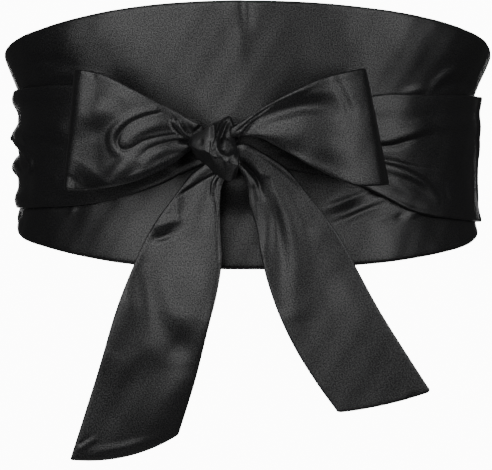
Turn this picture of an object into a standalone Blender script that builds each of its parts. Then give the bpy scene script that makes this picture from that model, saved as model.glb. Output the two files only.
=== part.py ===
"""A black satin waist sash, tied as it is worn.

A shaped panel goes round the front of the waist. A tie is sewn to each of its back ends. The ties
pass each other behind, come round over the panel, and are tied in a bow in front.

Metres, +Z up, the front towards -Y. The origin is the middle of the waist, at half the panel's height.
Angles go round the waist from the middle of the front, in degrees, positive towards +X.
"""

import math
from collections import namedtuple

import bmesh
import bpy
from mathutils import Vector

# The waist that the sash is held on, as the inner face of the cloth
WAIST_HALF_WIDTH = 0.1324
WAIST_HALF_DEPTH = 0.1000
TOP_FLARE = 0.0115
TOP_FLARE_FROM, TOP_FLARE_TO = 0.018, 0.062
BOTTOM_FLARE = 0.0060
BOTTOM_FLARE_FROM, BOTTOM_FLARE_TO = -0.030, -0.070
# In front and behind, the waist widens by this share of what it does at its sides
FLARE_SHARE_IN_FRONT = 0.35

# Cloth
PANEL_WALL = 0.0024
TIE_WALL = 0.0016
LAY_GAP = 0.0004
SEAM_GAP = 0.0003
EDGE_ROUNDING = 0.4
SMOOTH_UP_TO = math.radians(50.0)

# The panel is deepest in front and narrows to the ties' width at its two ends
PANEL_HALF_HEIGHT_AT_SIDE = 0.0525
PANEL_HALF_HEIGHT_GAIN = 0.0215
# It is trimmed a little at -X, fully from the second of these angles on
PANEL_LEFT_TRIM = 0.0022
PANEL_LEFT_TRIM_FROM, PANEL_LEFT_TRIM_TO = 20.0, 60.0
PANEL_END_ANGLE = 144
PANEL_ROWS = 8
COLUMN_STEP = 6

# A gathered ridge is never bent more tightly than this, so that the wall doesn't cross itself
TIGHTEST_FOLD = 0.0014

TIE_ROWS = 17
LOOP_ROWS = 12
TAIL_ROWS = 12
RIBBON_STEPS = 2

SATIN_BLACK = (0.012, 0.012, 0.013, 1.0)
SATIN_ROUGHNESS = 0.38

# One section across a tie: its angle, its two edges' heights, how far it stands out from the waist,
# counted in layers of the panel, and how high its gathers are there. It starts at the panel's end.
TieSection = namedtuple("TieSection", "angle top bottom layers gather")

# The tie that shows at +X. It starts at the panel's -X end and passes lower behind.
RIGHT_TIE = [
    TieSection(216, 0.0329, -0.0329, 0.00, 0.0000),
    TieSection(208, 0.0270, -0.0370, 0.00, 0.0004),
    TieSection(198, 0.0100, -0.0430, 0.00, 0.0010),
    TieSection(192, 0.0035, -0.0460, 0.00, 0.0018),
    TieSection(186, -0.0010, -0.0480, 0.21, 0.0026),
    TieSection(180, -0.0010, -0.0490, 0.86, 0.0030),
    TieSection(174, -0.0010, -0.0485, 1.57, 0.0030),
    TieSection(168, 0.0040, -0.0470, 1.93, 0.0026),
    TieSection(162, 0.0130, -0.0460, 1.79, 0.0022),
    TieSection(152, 0.0250, -0.0450, 1.29, 0.0014),
    TieSection(143, 0.0290, -0.0450, 1.07, 0.0008),
    TieSection(128, 0.0290, -0.0460, 1.00, 0.0005),
    TieSection(110, 0.0280, -0.0470, 1.00, 0.0005),
    TieSection(90, 0.0280, -0.0470, 1.00, 0.0006),
    TieSection(72, 0.0270, -0.0465, 1.00, 0.0008),
    TieSection(60, 0.0260, -0.0455, 1.00, 0.0012),
    TieSection(50, 0.0252, -0.0440, 1.00, 0.0022),
    TieSection(42, 0.0250, -0.0405, 1.00, 0.0034),
    TieSection(35, 0.0245, -0.0340, 1.00, 0.0042),
    TieSection(28, 0.0220, -0.0275, 1.04, 0.0042),
    TieSection(20, 0.0165, -0.0225, 1.25, 0.0038),
    TieSection(12, 0.0100, -0.0195, 1.61, 0.0034),
    TieSection(6, 0.0060, -0.0175, 1.96, 0.0028),
    TieSection(1, 0.0035, -0.0160, 2.21, 0.0024),
    TieSection(-4, 0.0025, -0.0150, 2.36, 0.0022),
]

# The tie that shows at -X, in mirrored angles. It starts at the panel's +X end and passes higher behind.
LEFT_TIE = [
    TieSection(216, 0.0351, -0.0351, 0.00, 0.0000),
    TieSection(208, 0.0380, -0.0270, 0.00, 0.0004),
    TieSection(198, 0.0430, -0.0100, 0.00, 0.0010),
    TieSection(192, 0.0460, -0.0035, 0.00, 0.0018),
    TieSection(186, 0.0480, 0.0010, 0.21, 0.0026),
    TieSection(180, 0.0490, 0.0010, 0.86, 0.0030),
    TieSection(174, 0.0485, 0.0010, 1.57, 0.0030),
    TieSection(168, 0.0470, -0.0040, 1.93, 0.0026),
    TieSection(162, 0.0430, -0.0150, 1.79, 0.0024),
    TieSection(152, 0.0380, -0.0290, 1.29, 0.0018),
    TieSection(143, 0.0340, -0.0350, 1.07, 0.0018),
    TieSection(128, 0.0320, -0.0370, 1.00, 0.0022),
    TieSection(110, 0.0310, -0.0380, 1.00, 0.0026),
    TieSection(90, 0.0310, -0.0385, 1.00, 0.0030),
    TieSection(74, 0.0310, -0.0390, 1.00, 0.0028),
    TieSection(60, 0.0310, -0.0388, 1.00, 0.0022),
    TieSection(50, 0.0310, -0.0384, 1.00, 0.0024),
    TieSection(42, 0.0300, -0.0375, 1.00, 0.0030),
    TieSection(34, 0.0265, -0.0350, 1.00, 0.0036),
    TieSection(27, 0.0205, -0.0315, 1.07, 0.0038),
    TieSection(20, 0.0130, -0.0260, 1.29, 0.0036),
    TieSection(15, 0.0080, -0.0205, 1.64, 0.0030),
    TieSection(11.5, 0.0050, -0.0170, 2.07, 0.0024),
    TieSection(7, 0.0030, -0.0140, 2.36, 0.0022),
]

# One gathered ridge along the cloth: where its crest lies across it, from its lower edge (0) to its
# upper edge (1), and its half width, both at the far end and by the knot, and its share of the height
Ridge = namedtuple("Ridge", "far near far_half near_half share")

RIGHT_TIE_RIDGES = [
    Ridge(0.16, 0.23, 0.20, 0.13, 1.00),
    Ridge(0.58, 0.44, 0.12, 0.09, 0.80),
    Ridge(0.76, 0.61, 0.11, 0.09, 0.85),
    Ridge(0.94, 0.84, 0.09, 0.13, 0.70),
]
LEFT_TIE_RIDGES = [
    Ridge(0.08, 0.14, 0.11, 0.12, 0.70),
    Ridge(0.36, 0.38, 0.12, 0.11, 1.00),
    Ridge(0.62, 0.62, 0.12, 0.11, 0.95),
    Ridge(0.92, 0.88, 0.11, 0.12, 0.80),
]
# A tie's ridges leave their places by the knot at the first angle and reach their far ones at the second
RIDGES_SPREAD_FROM, RIDGES_SPREAD_TO = 20.0, 60.0

# One section across a loop or a tail: its upper and lower edge, seen from the front, and their depths
Section = namedtuple("Section", "x_top z_top x_bottom z_bottom y_top y_bottom gather")

# The bow's loop at -X, from the knot along its front layer, round its end and back along its rear layer
LEFT_LOOP = [
    Section(-0.0230, 0.0050, -0.0230, -0.0060, -0.1240, -0.1230, 0.0012),
    Section(-0.0300, 0.0080, -0.0300, -0.0085, -0.1262, -0.1240, 0.0016),
    Section(-0.0380, 0.0125, -0.0370, -0.0140, -0.1290, -0.1262, 0.0026),
    Section(-0.0480, 0.0175, -0.0470, -0.0200, -0.1308, -0.1280, 0.0030),
    Section(-0.0620, 0.0250, -0.0610, -0.0255, -0.1300, -0.1272, 0.0022),
    Section(-0.0770, 0.0325, -0.0770, -0.0288, -0.1250, -0.1230, 0.0010),
    Section(-0.0880, 0.0358, -0.0920, -0.0298, -0.1180, -0.1150, 0.0002),
    Section(-0.0938, 0.0368, -0.0995, -0.0300, -0.1100, -0.1065, 0.0000),
    Section(-0.0918, 0.0368, -0.0975, -0.0300, -0.1020, -0.0985, 0.0000),
    Section(-0.0850, 0.0350, -0.0880, -0.0290, -0.0992, -0.0985, 0.0002),
    Section(-0.0720, 0.0300, -0.0730, -0.0265, -0.1020, -0.1020, 0.0008),
    Section(-0.0580, 0.0235, -0.0580, -0.0220, -0.1065, -0.1065, 0.0012),
    Section(-0.0450, 0.0165, -0.0450, -0.0160, -0.1112, -0.1112, 0.0012),
    Section(-0.0340, 0.0110, -0.0340, -0.0100, -0.1155, -0.1150, 0.0010),
    Section(-0.0250, 0.0070, -0.0250, -0.0060, -0.1172, -0.1165, 0.0006),
]
# The loop at +X, in the same order
RIGHT_LOOP = [
    Section(-0.0090, 0.0030, -0.0090, -0.0020, -0.1235, -0.1225, 0.0008),
    Section(-0.0010, 0.0080, -0.0010, -0.0010, -0.1258, -0.1240, 0.0012),
    Section(0.0090, 0.0146, 0.0090, -0.0018, -0.1288, -0.1262, 0.0020),
    Section(0.0230, 0.0222, 0.0230, -0.0095, -0.1308, -0.1280, 0.0028),
    Section(0.0390, 0.0302, 0.0400, -0.0195, -0.1300, -0.1275, 0.0024),
    Section(0.0520, 0.0340, 0.0570, -0.0275, -0.1255, -0.1235, 0.0012),
    Section(0.0610, 0.0362, 0.0710, -0.0278, -0.1190, -0.1160, 0.0003),
    Section(0.0655, 0.0371, 0.0785, -0.0270, -0.1110, -0.1075, 0.0000),
    Section(0.0635, 0.0371, 0.0770, -0.0268, -0.1040, -0.1000, 0.0000),
    Section(0.0565, 0.0355, 0.0680, -0.0255, -0.1025, -0.1005, 0.0002),
    Section(0.0440, 0.0310, 0.0520, -0.0215, -0.1070, -0.1050, 0.0008),
    Section(0.0300, 0.0240, 0.0340, -0.0140, -0.1118, -0.1105, 0.0012),
    Section(0.0160, 0.0170, 0.0180, -0.0060, -0.1152, -0.1145, 0.0012),
    Section(0.0040, 0.0105, 0.0040, 0.0000, -0.1175, -0.1168, 0.0008),
    Section(-0.0080, 0.0060, -0.0080, 0.0010, -0.1185, -0.1180, 0.0004),
]
LOOP_RIDGES = [
    Ridge(0.12, 0.18, 0.16, 0.17, 0.80),
    Ridge(0.50, 0.52, 0.17, 0.16, 1.00),
    Ridge(0.86, 0.84, 0.15, 0.15, 0.75),
]

# The tails, from inside the knot to their cut ends. Top is the upper or outer long edge.
LEFT_TAIL = [
    Section(-0.0200, -0.0130, -0.0135, -0.0150, -0.1190, -0.1190, 0.0006),
    Section(-0.0235, -0.0165, -0.0120, -0.0235, -0.1180, -0.1190, 0.0014),
    Section(-0.0309, -0.0222, -0.0138, -0.0310, -0.1165, -0.1180, 0.0026),
    Section(-0.0391, -0.0328, -0.0143, -0.0438, -0.1160, -0.1170, 0.0030),
    Section(-0.0485, -0.0454, -0.0138, -0.0576, -0.1158, -0.1165, 0.0026),
    Section(-0.0560, -0.0580, -0.0145, -0.0700, -0.1156, -0.1160, 0.0020),
    Section(-0.0633, -0.0770, -0.0170, -0.0880, -0.1150, -0.1165, 0.0014),
    Section(-0.0705, -0.0989, -0.0215, -0.1099, -0.1140, -0.1170, 0.0008),
    Section(-0.0788, -0.1237, -0.0276, -0.1330, -0.1130, -0.1165, 0.0004),
    Section(-0.0870, -0.1500, -0.0332, -0.1520, -0.1120, -0.1150, 0.0002),
    Section(-0.0953, -0.1770, -0.0375, -0.1667, -0.1105, -0.1135, 0.0000),
]
RIGHT_TAIL = [
    Section(-0.0100, -0.0080, -0.0100, -0.0140, -0.1205, -0.1200, 0.0006),
    Section(-0.0010, -0.0045, -0.0035, -0.0190, -0.1200, -0.1195, 0.0014),
    Section(0.0088, -0.0092, 0.0008, -0.0270, -0.1185, -0.1180, 0.0026),
    Section(0.0215, -0.0175, 0.0022, -0.0390, -0.1170, -0.1170, 0.0030),
    Section(0.0314, -0.0289, 0.0061, -0.0510, -0.1160, -0.1165, 0.0028),
    Section(0.0430, -0.0438, 0.0078, -0.0631, -0.1155, -0.1165, 0.0022),
    Section(0.0533, -0.0587, 0.0116, -0.0796, -0.1150, -0.1170, 0.0016),
    Section(0.0629, -0.0769, 0.0183, -0.0989, -0.1145, -0.1170, 0.0010),
    Section(0.0732, -0.0961, 0.0276, -0.1182, -0.1135, -0.1165, 0.0005),
    Section(0.0862, -0.1171, 0.0389, -0.1364, -0.1120, -0.1150, 0.0002),
    Section(0.1003, -0.1400, 0.0507, -0.1522, -0.1100, -0.1135, 0.0000),
]
# Each tail's cut end is a shallow arc between its two corners, which starts to form up the tail
TAIL_END_ARCS = {"left_tail": 0.0052, "right_tail": 0.0016}
TAIL_END_ARC_STARTS = 0.75
TAIL_RIDGES = [
    Ridge(0.14, 0.16, 0.16, 0.16, 0.80),
    Ridge(0.52, 0.50, 0.18, 0.17, 1.00),
    Ridge(0.88, 0.84, 0.15, 0.15, 0.90),
]

# One ring of the knot: its place along the bow, its top and bottom, and how far its face and its back
# stand from the knot's middle depth
KnotRing = namedtuple("KnotRing", "x top bottom face back")

KNOT_DEPTH = -0.1190
KNOT_RINGS = [
    KnotRing(-0.0316, -0.0015, -0.0055, 0.0050, 0.0030),
    KnotRing(-0.0302, -0.0002, -0.0080, 0.0086, 0.0060),
    KnotRing(-0.0275, 0.0012, -0.0116, 0.0112, 0.0084),
    KnotRing(-0.0245, 0.0024, -0.0142, 0.0132, 0.0100),
    KnotRing(-0.0215, 0.0040, -0.0168, 0.0150, 0.0112),
    KnotRing(-0.0188, 0.0057, -0.0196, 0.0160, 0.0120),
    KnotRing(-0.0162, 0.0072, -0.0220, 0.0148, 0.0125),
    KnotRing(-0.0136, 0.0088, -0.0238, 0.0130, 0.0126),
    KnotRing(-0.0112, 0.0101, -0.0247, 0.0124, 0.0126),
    KnotRing(-0.0092, 0.0106, -0.0249, 0.0142, 0.0122),
    KnotRing(-0.0072, 0.0078, -0.0246, 0.0148, 0.0114),
    KnotRing(-0.0054, 0.0030, -0.0220, 0.0128, 0.0100),
    KnotRing(-0.0042, -0.0010, -0.0176, 0.0094, 0.0074),
    KnotRing(-0.0036, -0.0045, -0.0125, 0.0050, 0.0040),
]
KNOT_SIDES = 24
KNOT_WRAPS = 4
KNOT_WRAP_DEPTH = 0.0008
KNOT_WRAP_TWIST = 4.0


def clear_scene():
    for thing in list(bpy.data.objects):
        bpy.data.objects.remove(thing, do_unlink=True)


def satin():
    """The one cloth that every piece is cut from."""
    material = bpy.data.materials.new("black_satin")
    material.use_nodes = True
    shader = material.node_tree.nodes["Principled BSDF"]
    shader.inputs["Base Color"].default_value = SATIN_BLACK
    shader.inputs["Roughness"].default_value = SATIN_ROUGHNESS
    shader.inputs["Metallic"].default_value = 0.0
    material.diffuse_color = SATIN_BLACK
    return material


def ease(start, end, value):
    """0 before start, 1 after end, and a smooth rise between them."""
    share = min(1.0, max(0.0, (value - start) / (end - start)))
    return share * share * (3.0 - 2.0 * share)


def bump(distance, half_width):
    """1 at no distance, and smoothly 0 from half_width on."""
    if abs(distance) >= half_width:
        return 0.0
    return math.cos(math.pi / 2.0 * distance / half_width) ** 2


def flare(angle, z):
    """How far the waist widens towards the ribs above and the hips below."""
    above = TOP_FLARE * ease(TOP_FLARE_FROM, TOP_FLARE_TO, z)
    below = BOTTOM_FLARE * ease(BOTTOM_FLARE_FROM, BOTTOM_FLARE_TO, z)
    at_side = math.sin(math.radians(angle)) ** 2
    return (above + below) * (FLARE_SHARE_IN_FRONT + (1.0 - FLARE_SHARE_IN_FRONT) * at_side)


def panel_half_height(angle):
    """The panel is a little shallower on its -X side."""
    half = PANEL_HALF_HEIGHT_AT_SIDE
    half += PANEL_HALF_HEIGHT_GAIN * math.cos(math.radians(angle))
    return half - PANEL_LEFT_TRIM * ease(PANEL_LEFT_TRIM_FROM, PANEL_LEFT_TRIM_TO, -angle)


def panel_heights(angle):
    """The heights of the panel's rows of points at an angle, from the bottom edge up."""
    half = panel_half_height(angle)
    return [half * (2.0 * j / PANEL_ROWS - 1.0) for j in range(PANEL_ROWS + 1)]


def flare_on_panel(angle, z):
    """The flare at a height, read between the panel's rows, so that what lies on it follows it."""
    turn = (angle + 180.0) % 360.0 - 180.0
    rows = panel_heights(min(PANEL_END_ANGLE, max(-PANEL_END_ANGLE, turn)))
    j = 0
    while j < PANEL_ROWS - 1 and rows[j + 1] < z:
        j += 1
    share = (z - rows[j]) / (rows[j + 1] - rows[j])
    low, high = flare(angle, rows[j]), flare(angle, rows[j + 1])
    return low + (high - low) * share


def waist_point(angle, z, out):
    """A point that stands out from the waist by this much."""
    turn = math.radians(angle)
    wider = flare_on_panel(angle, z) + out
    across = WAIST_HALF_WIDTH + wider
    deep = WAIST_HALF_DEPTH + wider
    return Vector((across * math.sin(turn), -deep * math.cos(turn), z))


def seam_angle(width):
    """The angle that a gap of this width takes up at the panel's ends."""
    turn = math.radians(PANEL_END_ANGLE)
    per_radian = math.hypot(WAIST_HALF_WIDTH * math.cos(turn), WAIST_HALF_DEPTH * math.sin(turn))
    return math.degrees(width / per_radian)


def between(sections, i, t):
    """The section at a share t of the way from the given section i to the next, on a smooth curve."""
    before, start = sections[max(i - 1, 0)], sections[i]
    end, after = sections[i + 1], sections[min(i + 2, len(sections) - 1)]
    return type(start)(
        *(
            b
            + t / 2.0 * (c - a)
            + t * t / 2.0 * (2.0 * a - 5.0 * b + 4.0 * c - d)
            + t**3 / 2.0 * (3.0 * b - 3.0 * c + d - a)
            for a, b, c, d in zip(before, start, end, after)
        )
    )


def tie_section(sections, angle):
    """The tie's section at an angle, on a smooth curve through the given ones."""
    i = 0
    while i < len(sections) - 2 and sections[i + 1].angle > angle:
        i += 1
    t = (sections[i].angle - angle) / (sections[i].angle - sections[i + 1].angle)
    return between(sections, i, t)._replace(angle=angle)


def through(sections, steps):
    """Sections on a smooth curve through the given ones, with this many steps between two of them."""
    made = [
        between(sections, i, step / steps) for i in range(len(sections) - 1) for step in range(steps)
    ]
    return made + [sections[-1]]


def gathers(ridges, across, spread, gather, width):
    """How high the ridges stand at a place across cloth of this width. spread is 0 by the knot."""
    height = 0.0
    for ridge in ridges:
        crest = ridge.near + (ridge.far - ridge.near) * spread
        half = ridge.near_half + (ridge.far_half - ridge.near_half) * spread
        tightest = 2.0 * (half * width / math.pi) ** 2 / TIGHTEST_FOLD
        height += min(gather * ridge.share, tightest) * bump(across - crest, half)
    return height


def normals_of(grid):
    """The cloth's direction outwards at each point of a grid of points."""
    columns, rows = len(grid), len(grid[0])
    made = []
    for i in range(columns):
        column = []
        for j in range(rows):
            along = grid[min(i + 1, columns - 1)][j] - grid[max(i - 1, 0)][j]
            up = grid[i][min(j + 1, rows - 1)] - grid[i][max(j - 1, 0)]
            column.append(along.cross(up).normalized())
        made.append(column)
    return made


def moved_out(grid, heights):
    """The grid with each point moved along its normal by its height."""
    normals = normals_of(grid)
    return [
        [p + n * h for p, n, h in zip(*columns)]
        for columns in zip(grid, normals, heights)
    ]


def wall_mesh(name, grid, thickness):
    """One closed wall of cloth round a grid of points, its long edges rounded and its ends square."""
    columns, rows = len(grid), len(grid[0])
    normals = normals_of(grid)
    mesh = bmesh.new()
    outer, inner = [], []
    for points, directions in zip(grid, normals):
        half = thickness / 2.0
        outer.append([mesh.verts.new(p + n * half) for p, n in zip(points, directions)])
        inner.append([mesh.verts.new(p - n * half) for p, n in zip(points, directions)])
    rims = []
    for points in grid:
        low = points[0] + (points[0] - points[1]).normalized() * thickness * EDGE_ROUNDING
        high = points[-1] + (points[-1] - points[-2]).normalized() * thickness * EDGE_ROUNDING
        rims.append((mesh.verts.new(low), mesh.verts.new(high)))
    for i in range(columns - 1):
        for j in range(rows - 1):
            mesh.faces.new((outer[i][j], outer[i + 1][j], outer[i + 1][j + 1], outer[i][j + 1]))
            mesh.faces.new((inner[i][j], inner[i][j + 1], inner[i + 1][j + 1], inner[i + 1][j]))
        for end, edge in ((0, 0), (1, rows - 1)):
            for side in (outer, inner):
                mesh.faces.new((side[i][edge], side[i + 1][edge], rims[i + 1][end], rims[i][end]))
    for i in (0, columns - 1):
        for j in range(rows - 1):
            mesh.faces.new((outer[i][j], outer[i][j + 1], inner[i][j + 1], inner[i][j]))
        for end, edge in ((0, 0), (1, rows - 1)):
            mesh.faces.new((outer[i][edge], inner[i][edge], rims[i][end]))
    return finished(name, mesh)


def finished(name, mesh):
    """The mesh as an object, with its faces turned outwards and shaded smooth."""
    bmesh.ops.recalc_face_normals(mesh, faces=mesh.faces)
    data = bpy.data.meshes.new(name)
    mesh.to_mesh(data)
    mesh.free()
    data.shade_smooth()
    data.set_sharp_from_angle(angle=SMOOTH_UP_TO)
    piece = bpy.data.objects.new(name, data)
    bpy.context.scene.collection.objects.link(piece)
    return piece


def make_panel():
    """The shaped panel, open behind between its two ends."""
    grid = []
    for angle in range(-PANEL_END_ANGLE, PANEL_END_ANGLE + 1, COLUMN_STEP):
        grid.append([waist_point(angle, z, PANEL_WALL / 2.0) for z in panel_heights(angle)])
    return wall_mesh("front_panel", grid, PANEL_WALL)


def make_tie(name, sections, ridges, side):
    """A tie from its seam, round the back, to the knot. side is 1 at +X and -1 at -X."""
    grid = []
    seam, end = sections[0].angle, sections[-1].angle
    for angle in [*range(seam, end, -COLUMN_STEP), end]:
        section = tie_section(sections, angle)
        place = angle - seam_angle(SEAM_GAP) if angle == seam else angle
        spread = ease(RIDGES_SPREAD_FROM, RIDGES_SPREAD_TO, angle)
        width = section.top - section.bottom
        out = section.layers * (PANEL_WALL + LAY_GAP) + TIE_WALL / 2.0
        column = []
        for j in range(TIE_ROWS + 1):
            across = j / TIE_ROWS
            raised = gathers(ridges, across, spread, section.gather, width)
            z = section.bottom + width * across
            column.append(waist_point(side * place, z, out + raised))
        grid.append(column)
    return wall_mesh(name, grid, TIE_WALL)


def arc(share):
    """A shallow arc across the cloth: 0 at both edges and 1 between them."""
    return 1.0 - (2.0 * share - 1.0) ** 2


def make_ribbon(name, sections, rows, ridges, outwards, spread_of, end_arc=0.0):
    """A loop or a tail through its sections. outwards is 1 or -1, the side that its gathers stand on."""
    grid, heights = [], []
    smooth = through(sections, RIBBON_STEPS)
    for i, section in enumerate(smooth):
        top = Vector((section.x_top, section.y_top, section.z_top))
        bottom = Vector((section.x_bottom, section.y_bottom, section.z_bottom))
        spread = spread_of(i / (len(smooth) - 1))
        shares = [j / rows for j in range(rows + 1)]
        width = (top - bottom).length
        hang = end_arc * ease(TAIL_END_ARC_STARTS, 1.0, i / (len(smooth) - 1))
        along = Vector((0.0, outwards, 0.0)).cross(top - bottom).normalized()
        grid.append([bottom.lerp(top, share) + along * hang * arc(share) for share in shares])
        heights.append(
            [outwards * gathers(ridges, s, spread, section.gather, width) for s in shares]
        )
    return wall_mesh(name, moved_out(grid, heights), TIE_WALL)


def make_loop(name, sections, outwards):
    """One of the bow's loops, whose far end is half way along it."""

    def spread_of(share):
        return 1.0 - abs(2.0 * share - 1.0)

    return make_ribbon(name, sections, LOOP_ROWS, LOOP_RIDGES, outwards, spread_of)


def make_tail(name, sections, outwards):
    """One of the two tails that hang from the knot."""

    def spread_of(share):
        return share

    return make_ribbon(
        name, sections, TAIL_ROWS, TAIL_RIDGES, outwards, spread_of, TAIL_END_ARCS[name]
    )


def make_knot(name, grow=0.0):
    """The knot, with its hidden turns as one rounded solid. grow makes it larger all round."""
    mesh = bmesh.new()
    rings = []
    first, last = KNOT_RINGS[0].x, KNOT_RINGS[-1].x
    middle = (first + last) / 2.0
    for ring in KNOT_RINGS:
        x = ring.x + grow * (ring.x - middle) / (last - middle)
        along = (ring.x - first) / (last - first)
        half_height = (ring.top - ring.bottom) / 2.0
        points = []
        for k in range(KNOT_SIDES):
            turn = 2.0 * math.pi * k / KNOT_SIDES
            fold = KNOT_WRAP_DEPTH * math.sin(KNOT_WRAPS * turn + KNOT_WRAP_TWIST * along)
            fold *= math.sin(math.pi * along)
            deep = ring.face if math.cos(turn) > 0.0 else ring.back
            y = KNOT_DEPTH - (deep + fold + grow) * math.cos(turn)
            z = (ring.top + ring.bottom) / 2.0 + (half_height + fold + grow) * math.sin(turn)
            points.append(mesh.verts.new((x, y, z)))
        rings.append(points)
    for one, two in zip(rings, rings[1:]):
        for k in range(KNOT_SIDES):
            after = (k + 1) % KNOT_SIDES
            mesh.faces.new((one[k], one[after], two[after], two[k]))
    mesh.faces.new(rings[0])
    mesh.faces.new(rings[-1])
    return finished(name, mesh)


def cut_by(piece, cutter):
    """Takes the cutter's room out of a piece, so that the piece ends at the knot's face."""
    cut = piece.modifiers.new("ends_at_the_knot", "BOOLEAN")
    cut.operation = "DIFFERENCE"
    cut.object = cutter


def build():
    clear_scene()
    cloth = satin()
    room = make_knot("knot_room", grow=SEAM_GAP)
    room.hide_render = True
    room.display_type = "WIRE"
    meeting_the_knot = [
        make_tie("right_tie", RIGHT_TIE, RIGHT_TIE_RIDGES, 1),
        make_tie("left_tie", LEFT_TIE, LEFT_TIE_RIDGES, -1),
        make_loop("left_loop", LEFT_LOOP, -1),
        make_loop("right_loop", RIGHT_LOOP, 1),
        make_tail("left_tail", LEFT_TAIL, -1),
        make_tail("right_tail", RIGHT_TAIL, 1),
    ]
    for piece in meeting_the_knot:
        cut_by(piece, room)
    for piece in [*meeting_the_knot, make_panel(), make_knot("knot")]:
        piece.data.materials.append(cloth)


build()
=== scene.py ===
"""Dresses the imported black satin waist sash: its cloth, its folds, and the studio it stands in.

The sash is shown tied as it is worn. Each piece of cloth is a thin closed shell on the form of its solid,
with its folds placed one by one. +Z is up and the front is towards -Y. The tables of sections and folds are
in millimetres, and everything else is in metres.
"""

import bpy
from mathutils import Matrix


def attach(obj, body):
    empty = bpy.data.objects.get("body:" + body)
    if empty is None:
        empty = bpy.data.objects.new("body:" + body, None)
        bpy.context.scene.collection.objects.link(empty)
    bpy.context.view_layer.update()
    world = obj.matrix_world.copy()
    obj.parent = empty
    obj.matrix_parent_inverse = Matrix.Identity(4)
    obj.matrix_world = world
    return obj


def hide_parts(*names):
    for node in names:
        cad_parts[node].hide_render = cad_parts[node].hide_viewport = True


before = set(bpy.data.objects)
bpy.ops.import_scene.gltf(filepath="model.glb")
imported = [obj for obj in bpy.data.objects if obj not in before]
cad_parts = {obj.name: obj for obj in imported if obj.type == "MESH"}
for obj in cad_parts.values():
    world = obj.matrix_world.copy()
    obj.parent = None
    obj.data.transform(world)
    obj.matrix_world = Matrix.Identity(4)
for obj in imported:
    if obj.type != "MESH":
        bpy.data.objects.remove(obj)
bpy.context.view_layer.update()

import math
from collections import namedtuple

import bpy
import numpy as np
from bpy.props import FloatProperty, FloatVectorProperty, PointerProperty
from bpy.types import Operator, Panel, PropertyGroup
from mathutils import Vector

bl_info = {
    "name": "Satin Waist Sash",
    "version": (1, 0, 0),
    "blender": (4, 5, 0),
    "location": "3D View > Sidebar > Sash",
    "description": "Makes the cloth of a black satin waist sash that is tied in a bow",
    "category": "Add Mesh",
}

MM = 0.001

# The waist that the sash is held on, as the inner face of the cloth, and how it widens towards the ribs
# and the hips between two heights. It widens less in front, and lies fuller on the +X side.
WAIST_HALF_WIDTH, WAIST_HALF_DEPTH = 0.1324, 0.1000
TOP_FLARE, TOP_FLARE_RANGE = 0.0132, (0.018, 0.062)
BOTTOM_FLARE, BOTTOM_FLARE_RANGE = 0.0060, (-0.030, -0.070)
FLARE_SHARE_IN_FRONT, FLARE_STRAIGHT_TO = 0.35, 0.074
RIGHT_FULLNESS = 0.0013

# Lengths round the waist are measured this far out from it, in steps of the angle
ROUND_OUT, ROUND_LAST_ANGLE, ROUND_STEP = 0.003, 222.0, 0.5

# The solids' walls, which say how far each layer stands out, and how much nearer the waist the cloth lies
PANEL_WALL, TIE_WALL, LAY_GAP, SUNK = 0.0024, 0.0016, 0.0004, 0.0002

# The panel's outline, which is a little shallower on the -X side and a little higher in front
PANEL_HALF_HEIGHT_AT_SIDE, PANEL_HALF_HEIGHT_GAIN = 0.0525, 0.0215
PANEL_LEFT_TRIM, PANEL_LEFT_TRIM_ANGLES = 0.0022, (20.0, 60.0)
PANEL_END_ANGLE, PANEL_TOP_RISE = 144.0, 0.0016

# Places of the rows of points next to an edge, as shares of the rolled edge's width
EDGE_PLACES = (0.0, 0.05, 0.17, 0.36, 0.62, 1.0, 1.5, 2.2, 3.0)

# How much fuller the cloth is beside its rolled edge, where and over what half width as shares of the
# roll's width, and how far and over what width the cloth falls back to the edge
EDGE_FULLNESS, EDGE_FULLEST_AT, EDGE_FULLNESS_HALF = 0.15, 1.1, 1.8
EDGE_FALL, EDGE_FALL_WIDTH = 0.0009, 0.0026

# A gathered ridge is never bent more tightly than this
TIGHTEST_FOLD = 0.0014

# How much of the solids' broad gathers stays under the listed folds. On the ties all of it stays
# beyond two angles.
TIE_GATHER_SHARE, LOOP_GATHER_SHARE, TAIL_GATHER_SHARE = 0.15, 0.05, 0.08
TIE_GATHERS_RETURN = (52.0, 76.0)

# Between these angles a tie's ridges spread from their places by the knot to those round the waist
RIDGES_SPREAD = (20.0, 60.0)

# Along a loop: where its rear layer takes over. From the knot to its turned end: where its unevenness grows
# in, where the front layer's folds end, and where that layer swells. Last, how many millimetres the rear
# layer's unevenness is shifted.
REAR_STARTS, LOOP_UNEVEN_FROM, FRONT_FOLDS_END = (0.42, 0.56), (0.0, 0.25), (0.86, 1.0)
LOOP_END_SWELL_AT, LOOP_END_SWELL_HALF, REAR_SHIFT = 0.93, 0.17, 40.0

# Along a tail: where its turn grows in, where the upper turn gives way to the lower one, where its cut end
# starts to bow, and over what length at the end its corners are rounded. It hangs back in the last of a
# number of equal parts, and ever more steeply.
TAIL_TURN_STARTS, TAIL_TURN_CHANGES, TAIL_BOW_STARTS = (0.1, 0.3), (0.66, 0.80), 0.75
TAIL_CORNER_LENGTH, TAIL_PARTS, TAIL_FALL_POWER = 0.018, 3.0, 1.2

# Broad unevenness of the cloth: height in mm, waves per metre across and up, and phase
UNEVENNESS = (
    (0.30, 9.0, 4.0, 0.4), (0.22, 17.0, -9.0, 2.1), (0.14, 31.0, 14.0, 4.4), (0.08, 58.0, -35.0, 1.3),
)

# Relief of the weave's threads, its grain, and its small ripples, in millimetres
THREAD_RELIEF, GRAIN_RELIEF, RIPPLE_RELIEF = 0.010, 0.10, 0.10

# Size of the cloth's duller patches and of its small ripples, and how many widths long a thread shows
PATCH_SIZE, RIPPLE_SIZE, THREAD_LENGTH = 0.035, 0.009, 7.0

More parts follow.
